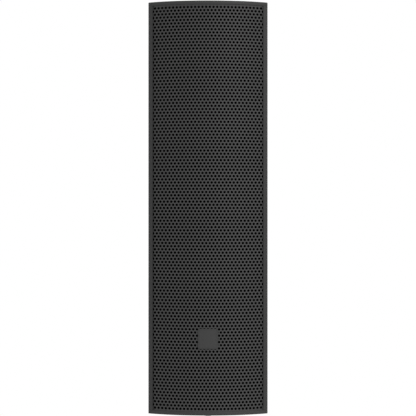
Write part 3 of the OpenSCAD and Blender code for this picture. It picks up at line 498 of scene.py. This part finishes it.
# ---------------------------------------------------------------- camera, light and floor
def studio():
    """Camera, light and floor."""
    scene = bpy.context.scene
    scene.view_settings.view_transform = "Standard"
    bpy.ops.object.camera_add(location=(0, CROWN_Y - CAMERA_BACK, 0), rotation=(math.pi / 2, 0, 0))
    camera = bpy.context.object
    camera.data.sensor_width = 36
    camera.data.lens = CAMERA_LENS
    camera.data.clip_start = 0.1
    scene.camera = camera

    world = bpy.data.worlds.new("studio")
    scene.world = world
    world.use_nodes = True
    tree = world.node_tree
    tree.nodes.clear()
    out = tree.nodes.new("ShaderNodeOutputWorld")
    seen = tree.nodes.new("ShaderNodeBackground")
    lit = tree.nodes.new("ShaderNodeBackground")
    lit.inputs["Strength"].default_value = 0.45
    pick = tree.nodes.new("ShaderNodeMixShader")
    rays = tree.nodes.new("ShaderNodeLightPath")
    tree.links.new(rays.outputs["Is Camera Ray"], pick.inputs["Fac"])
    tree.links.new(lit.outputs["Background"], pick.inputs[1])
    tree.links.new(seen.outputs["Background"], pick.inputs[2])
    tree.links.new(pick.outputs["Shader"], out.inputs["Surface"])
    for node in (seen, lit):
        node.inputs["Color"].default_value = (1, 1, 1, 1)

    for name, place, size, power in (
            ("key", (2.5, -3.3, 2.8), 2.9, 112),
            ("fill", (-1.8, -1.2, 0.3), 1.4, 2.5),
            ("rear", (0.9, 2.2, 1.3), 1.6, 22)):
        bpy.ops.object.light_add(type="AREA", location=place)
        light = bpy.context.object
        light.name = name
        light.data.size = size
        light.data.energy = power
        light.visible_camera = False
        light.rotation_euler = (-Vector(place)).to_track_quat("-Z", "Y").to_euler()

    bpy.ops.mesh.primitive_circle_add(
        vertices=96, radius=FLOOR_R, fill_type="NGON", location=(0, 0, FLOOR_Z))
    floor = bpy.context.object
    floor.name = "studio_floor"
    pale, tree, skin = shader("pale_floor", roughness=0.9)
    tone = ramp(tree, noise(tree, 40, 3), (0.3, (0.80, 0.80, 0.79)), (0.7, (0.82, 0.82, 0.81)))
    tree.links.new(tone, skin.inputs["Base Color"])
    floor.data.materials.append(pale)


# ---------------------------------------------------------------- cabinet
def centres(node):
    """The middle of each separate solid in a CAD node."""
    return [(low + high) / 2 for low, high in solids_of(node)]


def bores_for(node, radius, y0, y1, sides=32):
    """A bar along Y through the middle of each solid of a node, to cut its bore."""
    return [rod(radius, (c.x, y0, c.z), (c.x, y1, c.z), sides) for c in centres(node)]


def port_places():
    """Where the four screws of each cap go into the extrusion, as (x, y)."""
    return [(c.x, c.y) for c in centres("cap_screws") if c.z > 0]


def outline_solid(inset, low, high):
    """A solid with the cabinet's outline from above, drawn in by inset all round."""
    bpy.ops.mesh.primitive_cylinder_add(
        vertices=360, radius=FRONT_R - inset, depth=high - low, location=(0, ARC_Y, (low + high) / 2))
    solid = settle(bpy.context.object)
    slope = Vector((TAPER_D, HALF_W - BACK_HALF, 0)).normalized()
    planes = [((0, -inset, 0), (0, 1, 0))]
    for side in (-1, 1):
        away = Vector((side * slope.x, slope.y, 0))
        planes.append(((side * (HALF_W - inset), 0, 0), (side, 0, 0)))
        planes.append((Vector((side * BACK_HALF, 0, 0)) - inset * away, away))
    slice_off(solid, *planes)
    return solid


def is_corner(a, b):
    """True for an upright edge at one of the outline's corners."""
    if abs(a.x - b.x) > TINY or abs(a.y - b.y) > TINY:
        return False
    on_side = abs(abs(a.x) - HALF_W) < NEAR
    on_back = abs(a.y) < NEAR
    return on_side or on_back


def grille_slot(low, high):
    """The curved slot that the grille and its cloth slide into."""
    outer_r, inner_r, back_y = GRILLE_R + 0.15 * MM, GRILLE_R - 3 * MM, -90 * MM
    slot = rod(outer_r, (0, ARC_Y, low), (0, ARC_Y, high), 360)
    cut(slot, rod(inner_r, (0, ARC_Y, low - MM), (0, ARC_Y, high + MM), 360))
    slice_off(slot, ((SLOT_X, 0, 0), (1, 0, 0)), ((-SLOT_X, 0, 0), (-1, 0, 0)),
              ((0, back_y, 0), (0, 1, 0)))
    return slot


def cabinet_room(tall):
    """The space inside: back from the baffle, less the ribs behind it and the screw ports."""
    rib_half, rib_t = 4 * MM, 3 * MM
    rib_x = HALF_W - WALL - RIB_W + rib_half
    rib_y = BAFFLE[1].y + FIT
    room = outline_solid(WALL, -tall, tall)
    slice_off(room, ((0, BAFFLE[0].y - FIT, 0), (0, -1, 0)))
    ribs = []
    for x in (-rib_x, rib_x):
        ribs.append(block((x - rib_half, rib_y, -tall - MM), (x + rib_half, rib_y + rib_t, tall + MM)))
    ports = [rod(PORT_R, (x, y, -tall - MM), (x, y, tall + MM), 48) for x, y in port_places()]
    return cut(room, *ribs, *ports)


def cabinet_shell():
    """The extrusion: rims and slots for the grille, channels for the baffle, and screw ports."""
    tall = BODY_END + REACH
    shell = outline_solid(0, -BODY_END, BODY_END)
    bevel(shell, is_corner, CORNER_R, 4)
    bevel(shell, lambda a, b: abs(a.z - b.z) < TINY, 0.25 * MM, 2)

    room = cabinet_room(tall)
    inner_x = HALF_W - WALL - RIB_W
    front = block((-inner_x, CROWN_Y - REACH, -tall), (inner_x, BAFFLE[0].y + MM, tall))
    slot = grille_slot(-tall, tall)
    window = block((-WINDOW_X, CROWN_Y - REACH, -tall), (WINDOW_X, -100 * MM, tall))
    cut(window, rod(GRILLE_R - MM, (0, ARC_Y, -tall - MM), (0, ARC_Y, tall + MM), 360))
    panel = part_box("terminal_panel")
    side_x, margin = 34 * MM, 8 * MM
    opening = block((-side_x, -WALL - PORT_R, panel[0].z + margin), (side_x, REACH, panel[1].z - margin))
    cut(shell, room, front, slot, window, opening,
        *[rod(PORT_BORE_R, (x, y, -tall), (x, y, tall), 32) for x, y in port_places()],
        *bores_for("rear_inserts", 4.6 * MM, -8 * MM, REACH, 64),
        *bores_for("terminal_panel_screws", TAPPED_R, -4.2 * MM, MM))

    # the transformer's two screws stand in countersinks in the back
    for low, high in solids_of("transformer_screws"):
        if high.y > -MM:
            sink = turned(in_mm((2.15, -5), (2.15, -2.1), (4.25, 0), (5.25, 1)))
            place = Matrix.Translation(((low.x + high.x) / 2, 0, (low.z + high.z) / 2))
            cut(shell, put(sink, place @ TO_BACK))

    # the inner edges of the two rims are broken
    lip_y = ARC_Y - math.sqrt(FRONT_R ** 2 - WINDOW_X ** 2)
    bevel(shell, lambda a, b: min(abs(v - WINDOW_X) < NEAR for v in (abs(a.x), abs(b.x)))
          and max(abs(a.y - lip_y), abs(b.y - lip_y)) < 0.2 * MM and abs(a.z - b.z) > MM, 0.3 * MM, 3)
    piece(shell, "cabinet_shell", "cabinet", "cabinet_coat", COAT, "cabinet_extrusion", smooth=25)


def seal_groove():
    """The groove for the cord gasket, just inside the walls and across behind the baffle's front."""
    outer, inner = 0.75 * MM, 2.25 * MM
    front = (BAFFLE[0].y + BAFFLE[1].y) / 2 - 1.4 * MM
    groove = outline_solid(outer, BODY_END - MM, BODY_END + 1.05 * MM)
    slice_off(groove, ((0, front + outer, 0), (0, -1, 0)))
    island = outline_solid(inner, BODY_END - 2 * MM, BODY_END + 2 * MM)
    slice_off(island, ((0, front + inner, 0), (0, -1, 0)))
    return cut(groove, island)


def end_caps():
    """The cast caps: a rounded plate with grooves for grille and gasket, and two tongues to centre it."""
    cap = outline_solid(0, BODY_END, HALF_H)
    bevel(cap, is_corner, CORNER_R, 4)
    bevel(cap, lambda a, b: min(a.z, b.z) > HALF_H - NEAR, CORNER_R, 3)
    bevel(cap, lambda a, b: max(a.z, b.z) < BODY_END + NEAR, 0.35 * MM, 2)

    places = port_places()
    tongue_x, tongue_half, tongue_l, tongue_h = HALF_W - WALL - 1.6 * MM, 1.3 * MM, 26 * MM, 6 * MM
    tongue_y = min(y for x, y in places) + PORT_R + 4 * MM
    for x in (-tongue_x, tongue_x):
        tongue = block((x - tongue_half, tongue_y, BODY_END - tongue_h),
                       (x + tongue_half, tongue_y + tongue_l, BODY_END + 2 * MM))
        bevel(tongue, lambda a, b: max(a.z, b.z) < BODY_END, 0.6 * MM, 2)
        cut(cap, tongue, operation="UNION")

    well_r, well_t, bore_r, groove_t = 4 * MM, 2.4 * MM, 2.15 * MM, 2.2 * MM
    cut(cap, grille_slot(BODY_END - MM, BODY_END + groove_t), seal_groove(),
        *[rod(well_r, (x, y, HALF_H - well_t), (x, y, HALF_H + 2 * MM)) for x, y in places],
        *[rod(bore_r, (x, y, BODY_END - MM), (x, y, HALF_H)) for x, y in places])
    lower = copy_of(cap, Matrix.Rotation(math.pi, 4, "Y"))
    piece(cap, "top_end_cap", "cabinet", "cap_coat", CAP_COAT, "top_cap", smooth=25)
    piece(lower, "bottom_end_cap", "cabinet", "cap_coat", CAP_COAT, "bottom_cap", smooth=25)


# ---------------------------------------------------------------- fasteners
def button_screw(head_r, head_t, shank_r, shank_l, socket):
    """A socket button-head screw that points down, with the seat of its head at 0. Sizes are in mm."""
    head_r, head_t, shank_r, shank_l = head_r * MM, head_t * MM, shank_r * MM, shank_l * MM
    screw = rod(head_r, (0, 0, 0), (0, 0, head_t), SCREW_SIDES)
    pick_faces(screw, lambda c, n: n.z < -0.9)
    bpy.ops.mesh.inset(thickness=head_r - shank_r)
    bpy.ops.mesh.extrude_region_move(TRANSFORM_OT_translate={"value": (0, 0, -shank_l)})
    leave()
    bevel(screw, lambda a, b: min(a.z, b.z) > head_t - TINY, head_t * 0.62, 5)
    bevel(screw, lambda a, b: max(a.z, b.z) < -shank_l + TINY, shank_r * 0.3, 2)
    corner = socket * MM / 2 / math.cos(math.pi / 6)
    return cut(screw, rod(corner, (0, 0, head_t * 0.4), (0, 0, head_t * 2), 6))


def place_screws(screw, node, name, slot, material, turn, seat):
    """Copies a screw to each solid of a CAD node; turn and seat take the solid's two corners."""
    for number, (low, high) in enumerate(solids_of(node), 1):
        copy = copy_of(screw, Matrix.Translation(seat(low, high)) @ turn(low, high))
        piece(copy, "%s_%d" % (name, number), "cabinet", slot, material, node)
    bpy.data.objects.remove(screw)


def fasteners():
    """The screws that show: eight in the caps, and those of the terminal panel and its cover."""
    upside_down = Matrix.Rotation(math.pi, 4, "Y")
    head_t = 2.2
    place_screws(
        button_screw(3.8, head_t, 2, 16, 2.5), "cap_screws", "cap_screw", "black_screw", BLACK_OXIDE,
        lambda low, high: Matrix() if low.z > 0 else upside_down,
        lambda low, high: Vector(((low.x + high.x) / 2, (low.y + high.y) / 2,
                                  high.z - head_t * MM if low.z > 0 else low.z + head_t * MM)))
    small_head_t = 1.8
    for node, name, shank_l in (("terminal_panel_screws", "panel_screw", 7.8),
                                ("terminal_cover_screws", "cover_screw", 6.4)):
        place_screws(
            button_screw(2.7, small_head_t, 1.5, shank_l, 2), node, name, "steel_screw", STAINLESS,
            lambda low, high: TO_BACK,
            lambda low, high: Vector(((low.x + high.x) / 2, high.y - small_head_t * MM,
                                      (low.z + high.z) / 2)))


# ---------------------------------------------------------------- front
def hole_row(shift, z):
    """One band of the sheet, a row high, with a row of holes that is moved sideways by shift."""
    half = (HOLES_EACH_WAY + 1) * HOLE_PITCH
    count = 2 * HOLES_EACH_WAY + (1 if shift == 0 else 0)
    bpy.ops.mesh.primitive_circle_add(
        vertices=HOLE_SIDES, radius=HOLE_R, location=(-(count - 1) / 2 * HOLE_PITCH, 0, z),
        rotation=(math.pi / 2, 0, 0))
    holes = settle(bpy.context.object)
    modify(holes, "ARRAY", count=count, use_relative_offset=False, use_constant_offset=True,
           constant_offset_displace=(HOLE_PITCH, 0, 0))
    bpy.ops.mesh.primitive_grid_add(
        x_subdivisions=2 * (HOLES_EACH_WAY + 1), y_subdivisions=1, size=1, location=(0, 0, z),
        rotation=(math.pi / 2, 0, 0))
    band = bpy.context.object
    band.scale = (2 * half, ROW_PITCH, 1)
    settle(band)
    mesh = edit(band, "EDGE")
    for e in mesh.edges:
        e.select_set(not e.is_boundary)
    bmesh.update_edit_mesh(band.data)
    bpy.ops.mesh.delete(type="EDGE")
    leave()
    join(band, holes)
    edit(band, "EDGE")
    bpy.ops.mesh.select_all(action="SELECT")
    bpy.ops.mesh.fill(use_beauty=True)
    leave()
    return band


def perforated_sheet():
    """The flat sheet with its staggered holes, closed under the badge and in the grooves of the caps."""
    first = -ROWS_EACH_WAY * ROW_PITCH
    sheet = join(hole_row(0, first), hole_row(HOLE_PITCH / 2, first + ROW_PITCH))
    modify(sheet, "ARRAY", count=ROWS_EACH_WAY + 1, use_relative_offset=False, use_constant_offset=True,
           constant_offset_displace=(0, 0, 2 * ROW_PITCH))
    merge(sheet, 0.01 * MM)
    badge_low, badge_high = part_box("badge")
    mesh = edit(sheet, "VERT")
    for v in mesh.verts:
        under_badge = badge_low.x < v.co.x < badge_high.x and badge_low.z < v.co.z < badge_high.z
        in_groove = abs(v.co.z) > (ROWS_EACH_WAY - 0.5) * ROW_PITCH
        v.select_set(under_badge or in_groove)
    mesh.select_flush(True)
    bmesh.update_edit_mesh(sheet.data)
    bpy.ops.mesh.fill_holes(sides=HOLE_SIDES)
    leave()
    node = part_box("grille")
    edit(sheet)
    for point, normal in (((0, 0, node[1].z), (0, 0, 1)), ((0, 0, node[0].z), (0, 0, -1)),
                          ((node[1].x, 0, 0), (1, 0, 0)), ((node[0].x, 0, 0), (-1, 0, 0))):
        bpy.ops.mesh.select_all(action="SELECT")
        bpy.ops.mesh.bisect(plane_co=point, plane_no=normal, clear_outer=True, threshold=HAIR)
    leave()
    return sheet


def press_round(sheet, radius):
    """Presses a flat sheet that stands before the cabinet back onto a curve of the given radius."""
    former = rod(radius, (0, ARC_Y, -HALF_H), (0, ARC_Y, HALF_H), 1440)
    modify(sheet, "SHRINKWRAP", target=former, wrap_method="PROJECT", use_project_y=True,
           use_positive_direction=True, use_negative_direction=False)
    bpy.data.objects.remove(former)


def grille():
    """The perforated sheet pressed round, with its thickness."""
    sheet = perforated_sheet()
    only(sheet)
    bpy.ops.transform.translate(value=(0, CROWN_Y - STAND_OFF, 0))
    settle(sheet)
    press_round(sheet, GRILLE_R)
    edit(sheet)
    bpy.ops.mesh.select_all(action="SELECT")
    bpy.ops.mesh.extrude_region_move(TRANSFORM_OT_translate={"value": (0, GRILLE_T, 0)})
    bpy.ops.mesh.select_all(action="SELECT")
    bpy.ops.mesh.normals_make_consistent(inside=False)
    leave()
    piece(sheet, "perforated_grille", "cabinet", "grille_coat", GRILLE_COAT, "grille", smooth=40)


def cloth_behind():
    """Weather cloth stretched round the inside of the grille."""
    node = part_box("grille_cloth")
    radius = GRILLE_R - GRILLE_T - CLOTH_T
    bpy.ops.mesh.primitive_grid_add(
        x_subdivisions=72, y_subdivisions=40, size=1, location=(0, CROWN_Y - STAND_OFF, 0),
        rotation=(math.pi / 2, 0, 0))
    cloth = bpy.context.object
    cloth.scale = (node[1].x - node[0].x, node[1].z - node[0].z, 1)
    settle(cloth)
    press_round(cloth, radius)
    modify(cloth, "SOLIDIFY", thickness=CLOTH_T, offset=0)
    piece(cloth, "weather_cloth_sheet", "cabinet", "cloth", WEATHER_CLOTH, "grille_cloth", smooth=60)


def badge_plate():
    """A bare square badge with a raised rim, bent to the curve of the grille."""
    low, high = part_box("badge")
    radius = GRILLE_R + 1.15 * MM
    plate = block((low.x, -radius, low.z), (high.x, -GRILLE_R, high.z))
    bevel(plate, lambda a, b: abs(a.y - b.y) > 0.5 * MM, 2 * MM, 6)
    pick_faces(plate, lambda c, n: n.y < -0.9)
    bpy.ops.mesh.inset(thickness=0.25 * MM, depth=0)
    bpy.ops.mesh.inset(thickness=0.9 * MM, depth=0)
    bpy.ops.mesh.inset(thickness=0.2 * MM, depth=-0.3 * MM)
    leave()
    bevel(plate, lambda a, b: max(a.y, b.y) < -radius + TINY and (
        max(abs(a.x), abs(b.x)) > high.x - NEAR
        or min(abs(a.z - low.z), abs(a.z - high.z)) < NEAR), 0.24 * MM, 3)
    edit(plate)
    strips, strip_w = 8, 1.4 * MM
    for step in range(-strips, strips + 1):
        bpy.ops.mesh.select_all(action="SELECT")
        bpy.ops.mesh.bisect(plane_co=(step * strip_w, 0, 0), plane_no=(1, 0, 0), threshold=HAIR)
    leave()
    middle = (low.z + high.z) / 2
    plate.data.transform(Matrix.Translation((0, radius, -middle)))
    modify(plate, "SIMPLE_DEFORM", deform_method="BEND", deform_axis="Z", angle=(high.x - low.x) / radius)
    plate.data.transform(Matrix.Translation((0, ARC_Y - radius, middle)))
    piece(plate, "badge_plate", "cabinet", "badge_coat", BADGE_COAT, "badge", smooth=28)


# ---------------------------------------------------------------- drivers
def sectors(profile, thickness, parts):
    """A ring turned about Z, given its thickness, laid to face the front and split into equal sectors.

    Each sector comes with the direction that its middle points in."""
    whole = turned(profile, 96, "NOTHING")
    modify(whole, "SOLIDIFY", thickness=thickness, offset=0, use_even_offset=True)
    put(whole, TO_BACK.inverted())
    found = []
    for number in range(parts):
        turn = 2 * math.pi * (number + 0.5) / parts
        aim = Vector((math.cos(turn), 0, math.sin(turn)))
        sector = copy_of(whole, Matrix())
        pick_faces(sector, lambda c, n: Vector((c.x, 0, c.z)).angle(aim) > math.pi / parts)
        bpy.ops.mesh.delete(type="FACE")
        leave()
        found.append((sector, aim))
    bpy.data.objects.remove(whole)
    return found


def held_ring(ring, number, seat_y, name, slot, material):
    """A whole ring on one driver, joined from the sectors and set on the driver's seat."""
    node = "%s_%d" % (name, number)
    low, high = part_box(node)
    centre = Vector(((low.x + high.x) / 2, seat_y(low, high), (low.z + high.z) / 2))
    parts = []
    for sector, aim in ring:
        part = copy_of(sector, Matrix.Translation(centre))
        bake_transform(part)
        parts.append(part)
    whole = merge(join(*parts), 0.001 * MM)
    piece(whole, "driver_%s" % node, None, slot, material, node, smooth=40)


def soft_suspension():
    """The corrugated cloth spider and the rubber half roll of each driver, each joined whole from equal
    sectors.
    """
    waves, wave_h, steps = 4, 0.7, 48
    inner, outer = 12.85, 26
    cloth = [(inner + (outer - inner) * i / steps,
              -wave_h * math.sin(2 * math.pi * waves * i / steps) * math.sin(math.pi * i / steps))
             for i in range(steps + 1)]
    spider = sectors(in_mm(*cloth, (28, 0), (29.9, 0)), 0.5 * MM, 8)

    middle, roll_r, level = 33.9, 2.65, 0.25
    arch = [(middle - roll_r * math.cos(math.radians(a)), roll_r * math.sin(math.radians(a)))
            for a in range(6, 175, 12)]
    profile = [(29.5, level), (30.6, level)] + arch + [(37.2, level), (37.9, level)]
    roll = sectors(in_mm(*profile), 0.5 * MM, 16)
    for number in range(1, DRIVERS + 1):
        held_ring(spider, number, lambda low, high: (low.y + high.y) / 2, "spider", "spider_cloth",
                  SPIDER_CLOTH)
        held_ring(roll, number, lambda low, high: high.y, "surround", "roll_rubber",
                  ROLL_RUBBER)
    for sector, aim in spider + roll:
        bpy.data.objects.remove(sector)


# ---------------------------------------------------------------- back
def mounting_inserts():
    """Brass inserts with a cut thread, flush with the back."""
    core_r, thread_r, half_pitch, depth = 2.5, 2.95, 0.5, 14
    thread = [(core_r, -depth)]
    for half_turn in range(1, 27):
        thread.append((thread_r if half_turn % 2 else core_r, half_turn * half_pitch - depth))
    thread += [(2.6, -0.7), (3.35, 0), (3.35, 1)]
    insert = turned(in_mm((4.1, -16), (4.5, -15.6), (4.5, -0.25), (4.25, 0)), 48)
    flange = turned(in_mm((6.3, -4.5), (6.5, -4.3), (6.5, -3)), 48)
    cut(insert, flange, operation="UNION")
    cut(insert, turned(in_mm(*thread), 32))
    for number, c in enumerate(centres("rear_inserts"), 1):
        twin = copy_of(insert, Matrix.Translation((c.x, 0, c.z)) @ TO_BACK)
        piece(twin, "mounting_insert_%d" % number, "cabinet", "insert_brass", BRASS, "rear_inserts",
              smooth=30)
    bpy.data.objects.remove(insert)


def terminal_panel():
    """The plate that carries the terminals and the selector."""
    low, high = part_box("terminal_panel")
    plate = block(low, high)
    bevel(plate, lambda a, b: abs(a.y - b.y) > 2 * MM, 4 * MM, 6)
    bevel(plate, lambda a, b: min(a.y, b.y) > high.y - TINY, 0.5 * MM, 3)
    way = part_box("terminal_block")
    lap_x, lap_z, shaft_bore_r, through = 1.8 * MM, 2.8 * MM, 4.6 * MM, 8 * MM
    window = block((way[0].x + lap_x, -MM, way[0].z + lap_z),
                   (way[1].x - lap_x, through, way[1].z - lap_z))
    shaft = centres("tap_shaft")[0]
    cut(plate, window, rod(shaft_bore_r, (0, -MM, shaft.z), (0, through, shaft.z)),
        *bores_for("terminal_panel_screws", FREE_R, -MM, through),
        *bores_for("terminal_cover_screws", TAPPED_R, -MM, through))
    piece(plate, "rear_terminal_panel", "cabinet", "panel_coat", PANEL_COAT, "terminal_panel", smooth=30)
    dial_print(shaft.z, high.y)


def dial_print(shaft_z, face_y):
    """A tick and a number for each step of the selector, printed on the panel."""
    ink_t, tick_half = 0.03 * MM, 0.25 * MM
    marks = []
    for step in range(DIAL_STEPS):
        angle = DIAL_ANGLE * ((DIAL_STEPS - 1) / 2 - step)
        turn = Matrix.Translation((0, 0, shaft_z)) @ Matrix.Rotation(math.radians(angle), 4, "Y")
        tick = block((-tick_half, face_y - 0.1 * MM, 13.6 * MM), (tick_half, face_y + ink_t, 15.8 * MM))
        marks.append(put(tick, turn))
        spot = turn @ Vector((0, face_y, 18.6 * MM))
        bpy.ops.object.text_add(location=spot, rotation=(math.pi / 2, 0, math.pi))
        digit = bpy.context.object
        digit.data.body = str(step + 1)
        digit.data.size = 4.6 * MM
        digit.data.align_x = "CENTER"
        digit.data.align_y = "CENTER"
        digit.data.extrude = ink_t
        only(digit)
        bpy.ops.object.convert(target="MESH")
        marks.append(merge(settle(bpy.context.object), HAIR))
    piece(join(*marks), "selector_dial_print", "cabinet", "panel_coat", WHITE_INK, "terminal_panel",
          smooth=30)


def terminal_cover():
    """A moulded cover with sloped shoulders, screw ears and a recessed field on its face."""
    low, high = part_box("terminal_cover")
    half, ear_t, wall = 30 * MM, 3 * MM, 2.5 * MM
    shell = block((-half, low.y, low.z), (half, high.y, high.z))
    bevel(shell, lambda a, b: min(a.y, b.y) > high.y - TINY and abs(a.z - b.z) > MM, 6 * MM, 1)
    bevel(shell, lambda a, b: max(a.y, b.y) > low.y + MM, 1.6 * MM, 5)
    ears = block(low, (high.x, low.y + ear_t, high.z))
    bevel(ears, lambda a, b: abs(a.y - b.y) > 2 * MM, 3 * MM, 6)
    bevel(ears, lambda a, b: min(a.y, b.y) > low.y + ear_t - TINY, 0.7 * MM, 3)
    cut(shell, ears, operation="UNION")
    room = block((wall - half, low.y - REACH, low.z + wall),
                 (half - wall, high.y - wall, high.z - wall))
    bevel(room, lambda a, b: min(a.y, b.y) > high.y - wall - TINY and abs(a.z - b.z) > MM, 5 * MM, 3)
    field_half, field_in, field_t = 18 * MM, 14 * MM, 0.45 * MM
    field = block((-field_half, high.y - field_t, low.z + field_in),
                  (field_half, high.y + MM, high.z - field_in))
    bevel(field, lambda a, b: abs(a.y - b.y) > MM, 2.5 * MM, 6)
    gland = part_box("gland_nut")
    axis_y = (gland[0].y + gland[1].y) / 2
    neck = rod(6.1 * MM, (0, axis_y, low.z - MM), (0, axis_y, low.z + REACH))
    cut(shell, room, field, neck, *bores_for("terminal_cover_screws", FREE_R, low.y - MM, low.y + REACH))
    piece(shell, "terminal_cover_shell", "cabinet", "cover_plastic", COVER_PLASTIC, "terminal_cover",
          smooth=30)


def hexagon(z0, z1, axis_y):
    """A hexagonal bar along Z with its corners turned down at both ends."""
    corner = GLAND_FLATS / 2 / math.cos(math.pi / 6)
    slim, rise = 1.1 * MM, 0.65 * MM
    bar = rod(corner, (0, 0, z0), (0, 0, z1), 6, math.pi / 6)
    turn_down = turned(
        [(corner - slim, z0), (corner, z0 + rise), (corner, z1 - rise), (corner - slim, z1)], 96)
    cut(bar, turn_down, operation="INTERSECT")
    return put(bar, Matrix.Translation((0, axis_y, 0)))


def cable_gland():
    """The gland's body, with its stem through the cover, and the ribbed dome nut below it."""
    low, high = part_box("gland_nut")
    axis_y = (low.y + high.y) / 2
    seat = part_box("terminal_cover")[0].z
    place = Matrix.Translation((0, axis_y, seat))
    body = hexagon(seat - 6 * MM, seat, axis_y)
    stem = put(turned(in_mm((5.2, -14), (5.4, -13.8), (5.4, -5)), 64), place)
    neck = put(turned(in_mm((6, -1), (6, 8.2), (5.7, 8.5)), 64), place)
    cut(body, stem, neck, operation="UNION")
    cut(body, put(turned(in_mm((3.85, -20), (3.85, 20)), 64), place),
        put(turned(in_mm((4.4, -20), (4.4, -8)), 64), place))
    piece(body, "gland_body_moulding", "cabinet", "gland_nylon", GLAND_NYLON, "gland_body", smooth=30)

    dome_r, dome_h, tip_r, top = 7.2, 6.4, 4.2, -16
    nut = hexagon(low.z + dome_h * MM, high.z, axis_y)
    dome = [(dome_r, top + 1), (dome_r, top)]
    for step in range(1, 9):
        turn = math.radians(step * 90 / 8)
        dome.append((tip_r + (dome_r - tip_r) * math.cos(turn), top - dome_h * math.sin(turn)))
    crown = turned(in_mm(*dome), 72)
    groove = block((-0.48 * MM, 5.94 * MM, -23 * MM), (0.48 * MM, 7.63 * MM, -16.4 * MM))
    grooves = [copy_of(groove, Matrix.Rotation(math.radians(15 + 30 * n), 4, "Z")) for n in range(12)]
    bpy.data.objects.remove(groove)
    cut(crown, join(*grooves))
    cut(nut, put(crown, place), operation="UNION")
    cut(nut, put(turned(in_mm((3.5, -30), (3.5, 0)), 64), place),
        put(turned(in_mm((5.5, -19.5), (5.5, 0)), 64), place))
    piece(nut, "gland_sealing_nut", "cabinet", "gland_nylon", GLAND_NYLON, "gland_nut", smooth=30)


def selector_knob():
    """A fluted knob with a recessed ring on its face, and the white line let into it."""
    low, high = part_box("tap_knob")
    shaft = centres("tap_shaft")[0]
    height = high.y - low.y
    radius = 12 * MM
    rim = [(radius - MM * (1 - math.cos(math.radians(a))), height - MM * (1 - math.sin(math.radians(a))))
           for a in (0, 22, 45, 67, 90)]
    dip = height - 0.3 * MM
    face = [(10.1 * MM, height), (9.9 * MM, dip), (9.3 * MM, dip), (9.1 * MM, height)]
    knob = turned([(radius - 0.4 * MM, 0), (radius, 0.4 * MM)] + rim + face, 120)
    flute_r, flute_out = 1.8 * MM, 12.8 * MM
    flute = turned([(flute_r, -2 * MM), (flute_r, height + 2 * MM)], 28)
    out = Matrix.Translation((0, flute_out, 0))
    flutes = [copy_of(flute, Matrix.Rotation(math.radians(30 * n), 4, "Z") @ out)
              for n in range(12) if n != 6]
    bpy.data.objects.remove(flute)
    groove = block((-0.6 * MM, -15 * MM, height - 0.8 * MM), (0.6 * MM, -2 * MM, height + MM))
    recess = turned(in_mm((8, -1), (8, 5)), 64)
    bore = turned([(3.03 * MM, -MM), (3.03 * MM, height - 4 * MM)], 48)
    cut(knob, join(*flutes), groove, recess, bore)
    place = Matrix.Translation((0, low.y, shaft.z)) @ TO_BACK
    piece(put(knob, place), "selector_knob", "knob", "knob_plastic", KNOB_PLASTIC, "tap_knob", smooth=30)
    line = block((-0.55 * MM, -10.95 * MM, height - 0.85 * MM), (0.55 * MM, -2.1 * MM, height - 0.06 * MM))
    bevel(line, lambda a, b: min(a.z, b.z) > height - 0.07 * MM, 0.1 * MM, 2)
    piece(put(line, place), "selector_pointer", "knob", "knob_plastic", WHITE_INK, "tap_knob", smooth=30)


# ---------------------------------------------------------------- build
studio()
cabinet_shell()
end_caps()
fasteners()
grille()
cloth_behind()
badge_plate()
soft_suspension()
mounting_inserts()
terminal_panel()
terminal_cover()
cable_gland()
selector_knob()

# the nodes that keep their CAD shape, and their materials
PAINT = {
    "cap_gaskets": SEAL_RUBBER, "baffle": BAFFLE_PLASTIC, "baskets": BASKET_COAT,
    "driver_gaskets": SEAL_RUBBER, "driver_screws": BLACK_OXIDE, "top_plates": ZINC,
    "magnets": FERRITE, "yokes": ZINC,
    "terminal_panel_gasket": SEAL_RUBBER, "terminal_cover_gasket": SEAL_RUBBER,
    "terminal_block": BLOCK_PLASTIC, "terminal_screws": ZINC, "gland_seal": SEAL_RUBBER,
    "gland_locknut": GLAND_NYLON, "tap_switch": SWITCH_PLASTIC, "tap_shaft": TURNED_STEEL,
    "transformer_core": LAMINATIONS, "transformer_coil": COIL_TAPE, "transformer_frame": ZINC,
    "transformer_screws": BLACK_OXIDE, "filter_board": BOARD_LAMINATE, "filter_parts": PART_PLASTIC,
    "board_posts": BRASS, "supply_leads": RED_LEAD, "driver_leads": BLUE_LEAD}
for number in range(1, DRIVERS + 1):
    PAINT["cone_%d" % number] = CONE_PAPER
    PAINT["voice_coil_%d" % number] = COPPER_COIL
for name, material in PAINT.items():
    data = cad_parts[name].data
    data.materials.clear()
    data.materials.append(material)
